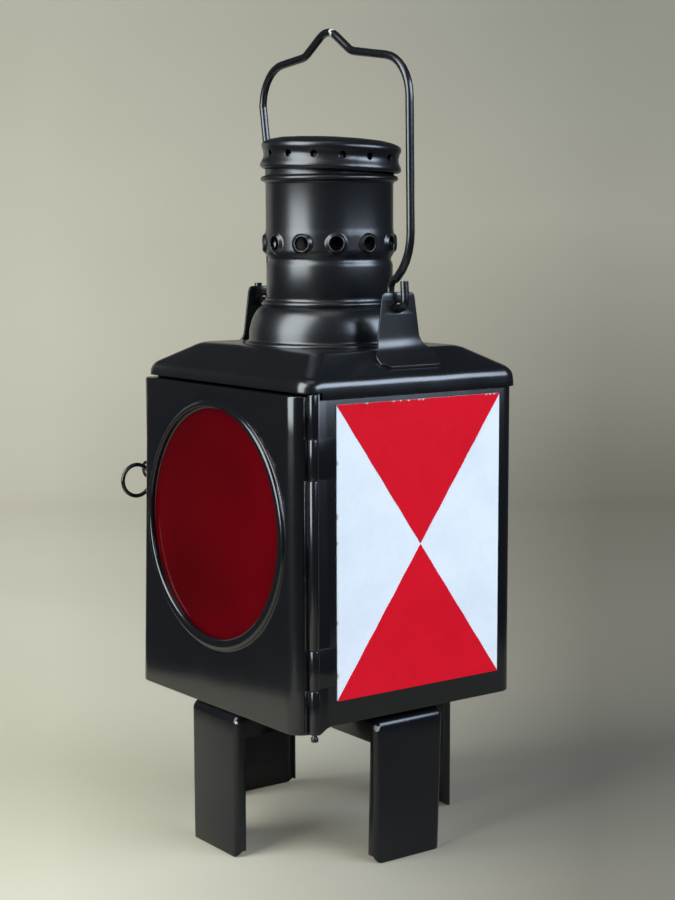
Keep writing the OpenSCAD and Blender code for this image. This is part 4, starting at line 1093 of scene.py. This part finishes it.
class LAMP_OT_hinge(bpy.types.Operator):
    """Roll the hinge's knuckles and leaves, and set its pin"""

    bl_idname = "lamp.hinge"
    bl_label = "Hinge"

    def execute(self, context):
        finished_rows(
            ("strap_rolled_lower", 0.0003, "black_paint", "lamp", "black_paint", "hinge_strap_lower"),
            ("strap_rolled_upper", 0.0003, "black_paint", "lamp", "black_paint", "hinge_strap_upper"),
            ("leaf_rolled", 0.0003, "door_paint", "door", "black_paint", "hinge_door_leaf"),
            ("pin_black", 0.0003, "black_paint", "lamp", "black_paint", "hinge_pin"),
        )
        return {"FINISHED"}


class LAMP_OT_latch(bpy.types.Operator):
    """Make the hasp, its bracket and the pull ring of bent wire"""

    bl_idname = "lamp.latch"
    bl_label = "Latch"

    def execute(self, context):
        finished_rows(
            ("hasp_bent", 0.00025, "black_paint", "hasp", "black_paint", "latch_hasp"),
            ("bracket_riveted", 0.00025, "black_paint", "lamp", "black_paint", "latch_bracket"),
        )
        low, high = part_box("pull_ring")
        eye_y, eye_z, gap = -0.0910, 0.2607, 2.5
        eye = Vector(((low[0] + high[0]) / 2, eye_y, eye_z))
        radius, swing, wire_r = 0.01165, math.radians(-48), 0.0015
        hang = Matrix.Rotation(swing, 3, "X")
        bends = arc((0, -radius), (radius * 1.015, radius), 90 + gap, 450 - gap, 72)
        piece = wire("ring_bent", [hang @ Vector((0, y, z)) + eye for y, z in bends], wire_r)
        outward(piece)
        finished(piece, "wire_paint", "ring", "black_paint", "pull_ring", angle=50)
        return {"FINISHED"}


class LAMP_OT_panel(bpy.types.Operator):
    """Make the enamelled plate and its two red fields"""

    bl_idname = "lamp.signal_panel"
    bl_label = "Signal panel"

    def execute(self, context):
        low, high = (Vector(v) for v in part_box("panel_plate"))
        corner, lip, field_sheet, waver = 0.0008, 0.0006, 0.0003, 0.00018
        plate = block("plate_enamelled", low, high)
        with editing(plate):
            bevel_edges(plate, lambda a, b: abs(a.x - b.x) > 0.0005, corner, 4)
            choose(plate, "FACE", lambda c, n: n.x > 0.9)
            bpy.ops.mesh.inset(thickness=lip)
        soften(plate, 0.0003, 3)
        finished(plate, "white_enamel", "lamp", "white_enamel", "panel_plate")
        field_low, field_high = (Vector(v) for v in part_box("panel_red_fields"))
        face = field_low.x
        mid_y, mid_z = (field_low.y + field_high.y) / 2, (field_low.z + field_high.z) / 2
        fields, steps = [], 24
        for name, way in (("upper", 1), ("lower", -1)):
            rails = []
            for i in range(steps + 1):
                share = i / steps
                rise = (field_high.z - mid_z) * (1 - share) + 0.0004 * share
                half = (field_high.y - field_low.y) / 2 * (1 - share) + 0.0002
                wobble = waver * math.sin(5.1 * i + way) * min(1.0, 8 * share * (1 - share))
                z = mid_z + way * rise
                rails.append(((face, mid_y - half - wobble, z), (face, mid_y + half - wobble * 0.7, z)))
            field = drawn("field_" + name, rails)
            outward(field, (1, 0, 0))
            wall(field, field_sheet, 1.0)
            fields.append(field)
        field = joined(*fields)
        field.name = field.data.name = "fields_enamelled"
        soften(field, 0.00008, 1)
        finished(field, "red_enamel", "lamp", "red_enamel", "panel_red_fields")
        return {"FINISHED"}


class LAMP_OT_chimney(bpy.types.Operator):
    """Spin the chimney: flare, tube with its vents, and cap"""

    bl_idname = "lamp.chimney"
    bl_label = "Chimney"

    def execute(self, context):
        size = context.scene.lamp_chimney
        base = context.scene.lamp_body.roof_top
        tube_up, cap_up = 0.034, 0.123
        self.flare(size, base)
        self.tube(size, base + tube_up)
        self.cap(size, base + cap_up)
        return {"FINISHED"}

    def flare(self, size, base):
        """The base: foot flange, dome and bead."""
        r, foot = size.tube_r, size.foot_r
        outline = [(foot, 0.0), (foot, 0.0012), (foot - 0.0006, 0.0019), (foot - 0.0018, 0.0023)]
        outline += [(foot - 0.0026, 0.003), (foot - 0.0027, 0.0042)]
        span = foot - 0.0025 - (r - 0.0005)
        outline += arc((r - 0.0005, 0.003), (span, 0.025), 12, 72, 10)
        outline += arc((r + 0.0011, 0.0292), (0.0018, 0.0019), -90, 90, 12)
        outline += [(r + 0.0006, 0.0318), (r + 0.0006, 0.033)]
        piece = turned("chimney_base", [(x, base + z) for x, z in outline])
        outward(piece)
        wall(piece, CHIMNEY_SHEET)
        finished(piece, "chimney_paint", "lamp", "black_paint", "chimney_flare", angle=50)

    def tube(self, size, base):
        """The tube: groove, belt of rimmed vents and bead."""
        r = size.tube_r
        side = [(-0.00065, -0.008), (-0.00065, 0.0003), (-0.0003, 0.001), (-0.0003, 0.0215),
                (-0.0004, 0.0228), (-0.0009, 0.0242), (-0.0015, 0.0256), (-0.0016, 0.0266),
                (-0.0014, 0.0276), (-0.0006, 0.029), (0.0003, 0.0305), (0.0007, 0.0325), (0.0007, 0.034),
                (0.0007, 0.042), (0.0006, 0.0445), (0.0002, 0.0468), (0, 0.049), (0, 0.0795), (0.0003, 0.0805)]
        side += arc((0.0003, 0.0834), (0.0033, 0.0022), -80, 80, 10)
        side += [(0.0003, 0.0862), (0.0003, 0.09), (-0.0006, 0.092), (-0.0006, 0.1)]
        piece = turned("chimney_stack", [(r + x, base + z) for x, z in side], 168)
        wall(piece, CHIMNEY_SHEET)
        bit = drill(size.vent_r + 0.0001, 0.012, (r, 0, base + size.vent_z), TO_SIDE, 40)
        cut(piece, copies_round(bit, size.vents, 0))
        rim = [(0.0034, -0.0011), (0.0026, -0.0001), (0.0017, 0.0006), (0.0011, 0.0014), (0.0007, 0.0017),
               (0.0003, 0.0016), (0.0001, 0.0012), (0, 0.0002), (0, -0.0012)]
        collar = turned("collar", [(size.vent_r + x, z) for x, z in rim], 40)
        settle(collar, TO_SIDE, (r + 0.0007, 0, base + size.vent_z))
        outward(collar, (1, 0, 0))
        joined(piece, copies_round(collar, size.vents, 0))
        finished(piece, "chimney_paint", "lamp", "black_paint", "chimney_tube", angle=45)

    def cap(self, size, base):
        """The cap: waist with small holes and low dome, leaning a little."""
        r = size.tube_r
        side = [(0.0027, 0), (0.0033, 0.0001), (0.0041, 0.0007), (0.0047, 0.0016), (0.0048, 0.0026),
                (0.0045, 0.0038), (0.0039, 0.0051), (0.0032, 0.0065), (0.0027, 0.0081), (0.0025, 0.0098),
                (0.0027, 0.0114), (0.0032, 0.0129), (0.0038, 0.0143), (0.0042, 0.0156), (0.0042, 0.0168),
                (0.0037, 0.018), (0.0026, 0.019), (0.0008, 0.0199), (-0.0024, 0.021), (-0.008, 0.0222),
                (-0.018, 0.0231), (-0.0318, 0.0239), (-0.0448, 0.0243)]
        piece = turned("chimney_lid", [(r + x, z) for x, z in side], 144, True)
        wall(piece, CHIMNEY_SHEET)
        hole_r, hole_up, first_at = 0.0025, 0.0102, -2
        bit = drill(hole_r, 0.012, (r + 0.002, 0, hole_up), TO_SIDE, 28)
        cut(piece, copies_round(bit, size.cap_holes, first_at))
        lean = Vector((0.588, 0.809, 0)).normalized()
        piece.rotation_mode = "AXIS_ANGLE"
        piece.rotation_axis_angle = (size.cap_tilt, -lean.y, lean.x, 0)
        piece.location = lean * size.cap_shift + Vector((0, 0, base))
        settle(piece)
        finished(piece, "chimney_paint", "lamp", "black_paint", "chimney_cap", angle=45)


class LAMP_OT_ears(bpy.types.Operator):
    """Bend the two ears with their flanges"""

    bl_idname = "lamp.ears"
    bl_label = "Ears"

    def execute(self, context):
        size = context.scene.lamp_body
        turn = 90 - math.degrees(size.shoulder_slope)
        nx, nz = polar(turn)
        bend, top, half, round_r = size.ear_bend, size.pivot_z + 0.011, 0.010, 0.004
        plane = nx * (size.roof_half - size.edge_low_r) + nz * size.skirt_high + size.edge_low_r
        ox = size.ear_at + bend
        oz = (plane + size.ear_sheet + bend - nx * ox) / nz
        run = []
        for angle in (0, 25, 50, 70, 90):
            down, wide = polar(angle, round_r)
            run.append((size.ear_at, top - round_r + down, -half - wide, half + wide))
        base = size.roof_top
        bends = [(size.ear_at, base + up) for up in (0.024, 0.018, 0.0135)]
        bends += arc((ox, oz), bend, 180, 180 + turn, 12)
        run += [(x, z, *self.edges(z - base)) for x, z in bends]
        out = size.ear_at + 0.0135
        x, z = ox - bend * nx, oz - bend * nz
        ends = ((0.0075, -0.0225, 0.0295), (0.003, -0.0195, 0.0295), (0.0, -0.0165, 0.0255))
        for near, front, back in ends:
            if out - near > x:
                run.append((out - near, z - (out - near - x) * nx / nz, front, back))
        for name, way in (("right", 1), ("left", -1)):
            rails = [((way * x, size.pivot_y + front, z), (way * x, size.pivot_y + back, z))
                     for x, z, front, back in run]
            ear = drawn("ear_bent_" + name, rails)
            outward(ear, (way, 0, 0))
            wall(ear, size.ear_sheet)
            pivot = (way * size.ear_at, size.pivot_y, size.pivot_z)
            cut(ear, drill(size.bail_r + 0.0006, 0.01, pivot, TO_SIDE, 40))
            soften(ear, 0.0003)
            rivets = ("ear_rivets",) if way > 0 else ()
            finished(ear, "chimney_paint", "lamp", "black_paint", "ear_" + name, *rivets)
        return {"FINISHED"}

    def edges(self, up):
        """Where an ear's two edges run, by their height above the flat roof."""
        front = ((-0.003, -0.0225), (0.0, -0.019), (0.003, -0.0179), (0.009, -0.0176), (0.035, -0.014))
        back = ((-0.002, 0.0295), (0.0025, 0.0225), (0.0046, 0.0203), (0.009, 0.0182), (0.035, 0.014))
        return self.along(front, up), self.along(back, up)

    def along(self, table, up):
        """Reads a table of heights and places, with straight lines in between."""
        if up <= table[0][0]:
            return table[0][1]
        for (low, first), (high, last) in zip(table, table[1:]):
            if up <= high:
                return first + (last - first) * (up - low) / (high - low)
        return table[-1][1]


class LAMP_OT_bail(bpy.types.Operator):
    """Bend the bail of round wire, with its peak and its two hooks"""

    bl_idname = "lamp.bail"
    bl_label = "Bail"

    def execute(self, context):
        size = context.scene.lamp_body
        w, h = size.ear_at, size.bail_h
        side, out = w - 0.0095, w + 0.007
        corners = [
            (out - 0.001, 0.0185, 0), (out + 0.0005, 0.0, 0.006), (side, 0.0, 0.0045),
            (side, 0.0162, 0.0045), (1.158 * w, 0.146 * h, 0.038), (1.130 * w, 0.863 * h, 0.030),
            (0.347 * w, 0.911 * h, 0.018), (0.0015, h + 0.0008, 0.017), (-0.323 * w, 0.908 * h, 0.018),
            (-1.006 * w, 0.876 * h, 0.029), (-0.982 * w, 0.747 * h, 0.035), (-side, 0.495 * h, 0.060),
            (-side, 0.0, 0.0045), (-out, 0.0, 0.0045), (-out, 0.013, 0),
        ]
        path = [Vector((p.x, size.pivot_y, size.pivot_z + p.y)) for p in rounded(corners)]

        def thick(i):
            return 1.0 + 0.012 * math.sin(i * 0.21) + 0.008 * math.sin(i * 0.67 + 1)

        bail = wire("bail_bent", path, size.bail_r * 0.985, 6, thick)
        outward(bail)
        finished(bail, "wire_paint", "bail", "black_paint", "bail", angle=60)
        return {"FINISHED"}


class LAMP_OT_burner(bpy.types.Operator):
    """Make the reservoir with its seams, and ease the burner's parts"""

    bl_idname = "lamp.burner"
    bl_label = "Burner and reservoir"

    def execute(self, context):
        low, high = (Vector(v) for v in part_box("oil_reservoir"))
        corner, seam, lid_rim, lid_step = 0.008, 0.0034, 0.0016, 0.0008
        collar_r, neck_r = 0.014, 0.0075
        wall_low, wall_high = low.z + seam + 0.0006, high.z - seam - 0.0006
        tank = block("reservoir_seamed", low, high)
        with editing(tank):
            bevel_edges(tank, lambda a, b: abs(a.z - b.z) > 0.05, corner, 8)
            score((0, 0, 1), low.z + seam, high.z - seam)
            choose(tank, "FACE", lambda c, n: abs(n.z) < 0.1 and wall_low < c.z < wall_high)
            bpy.ops.mesh.inset(thickness=0.0006, depth=-0.0005, use_even_offset=True)
            choose(tank, "FACE", lambda c, n: n.z > 0.9 and c.z > high.z - HAIR)
            bpy.ops.mesh.inset(thickness=lid_rim)
            bpy.ops.mesh.inset(thickness=lid_step, depth=-lid_step)
        cut(tank, drill(collar_r, 0.02, (0, 0, high.z), UPRIGHT, 64))
        neck_low, neck_high = (Vector(v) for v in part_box("filler_neck"))
        neck = (neck_low + neck_high) / 2
        cut(tank, drill(neck_r, 0.02, (neck.x, neck.y, high.z), UPRIGHT))
        soften(tank, 0.0004)
        finished(tank, "tinplate", "lamp", "tinplate", "oil_reservoir")
        finished_rows(
            ("cap_knurled", 0.0003, "brass", "filler_cap", "brass", "filler_cap"),
            ("knob_knurled", 0.0004, "brass", "knob", "brass", "wick_knob"),
            ("collar_turned", 0.0004, "brass", "lamp", "brass", "burner_collar"),
            ("gallery_turned", 0.0002, "brass", "lamp", "brass", "burner_body"),
            ("dome_turned", 0.0002, "brass", "lamp", "brass", "burner_dome"),
            ("tube_folded", 0.0002, "brass", "lamp", "brass", "wick_tube"),
            ("dish_bracket_bent", 0.0003, "tinplate", "lamp", "tinplate", "reflector_bracket"),
        )
        self.wick()
        return {"FINISHED"}

    def wick(self):
        """A flat woven wick with a charred, slightly uneven top."""
        low, high = (Vector(v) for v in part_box("wick"))
        wick = block("wick_woven", low, high)
        columns, burnt = 16, 0.0006
        with editing(wick):
            score((1, 0, 0), *(low.x + (high.x - low.x) * i / columns for i in range(1, columns)))
            score((0, 0, 1), high.z - 0.004, high.z - 0.002, high.z - 0.03)
            choose(wick, "VERT", lambda co: co.z > high.z - HAIR)
            move_chosen(wick, lambda co: Vector(
                (co.x, co.y * 0.8, co.z - burnt - 0.0005 * math.sin(co.x * 900))))
        reshape(wick, lambda co: Vector((co.x, co.y * (1 - 0.06 * (math.sin(co.x * 1190) > 0)), co.z)))
        soften(wick, 0.0003)
        finished(wick, "cotton", "wick", "cotton", "wick")


class LAMP_PT_panel(bpy.types.Panel):
    """Lists the pieces of the lamp"""

    bl_label = "Tail Lamp"
    bl_idname = "LAMP_PT_panel"
    bl_space_type = "VIEW_3D"
    bl_region_type = "UI"
    bl_category = "Tail Lamp"

    def draw(self, context):
        for maker in makers:
            self.layout.operator(maker.bl_idname)
        for group in group_names:
            sizes = getattr(context.scene, group)
            box = self.layout.box()
            for key in sizes.__annotations__:
                box.prop(sizes, key)


makers = (
    LAMP_OT_finishes, LAMP_OT_stage, LAMP_OT_case, LAMP_OT_roof, LAMP_OT_feet, LAMP_OT_door, LAMP_OT_hinge,
    LAMP_OT_latch, LAMP_OT_panel, LAMP_OT_chimney, LAMP_OT_ears, LAMP_OT_bail, LAMP_OT_burner,
)
groups = (LampBodySizes, LampFootSizes, LampDoorSizes, LampChimneySizes, LampColours)
group_names = ("lamp_body", "lamp_foot", "lamp_door", "lamp_chimney", "lamp_colours")


def register():
    for cls in groups + makers + (LAMP_PT_panel,):
        bpy.utils.register_class(cls)
    for name, cls in zip(group_names, groups):
        setattr(bpy.types.Scene, name, PointerProperty(type=cls))


def unregister():
    for name in group_names:
        delattr(bpy.types.Scene, name)
    for cls in reversed(groups + makers + (LAMP_PT_panel,)):
        bpy.utils.unregister_class(cls)


def main():
    register()
    bpy.ops.lamp.finishes()
    bpy.ops.lamp.stage()
    bpy.ops.lamp.case()
    bpy.ops.lamp.roof()
    bpy.ops.lamp.feet()
    bpy.ops.lamp.door()
    bpy.ops.lamp.hinge()
    bpy.ops.lamp.latch()
    bpy.ops.lamp.signal_panel()
    bpy.ops.lamp.chimney()
    bpy.ops.lamp.ears()
    bpy.ops.lamp.bail()
    bpy.ops.lamp.burner()


if __name__ == "__main__":
    main()
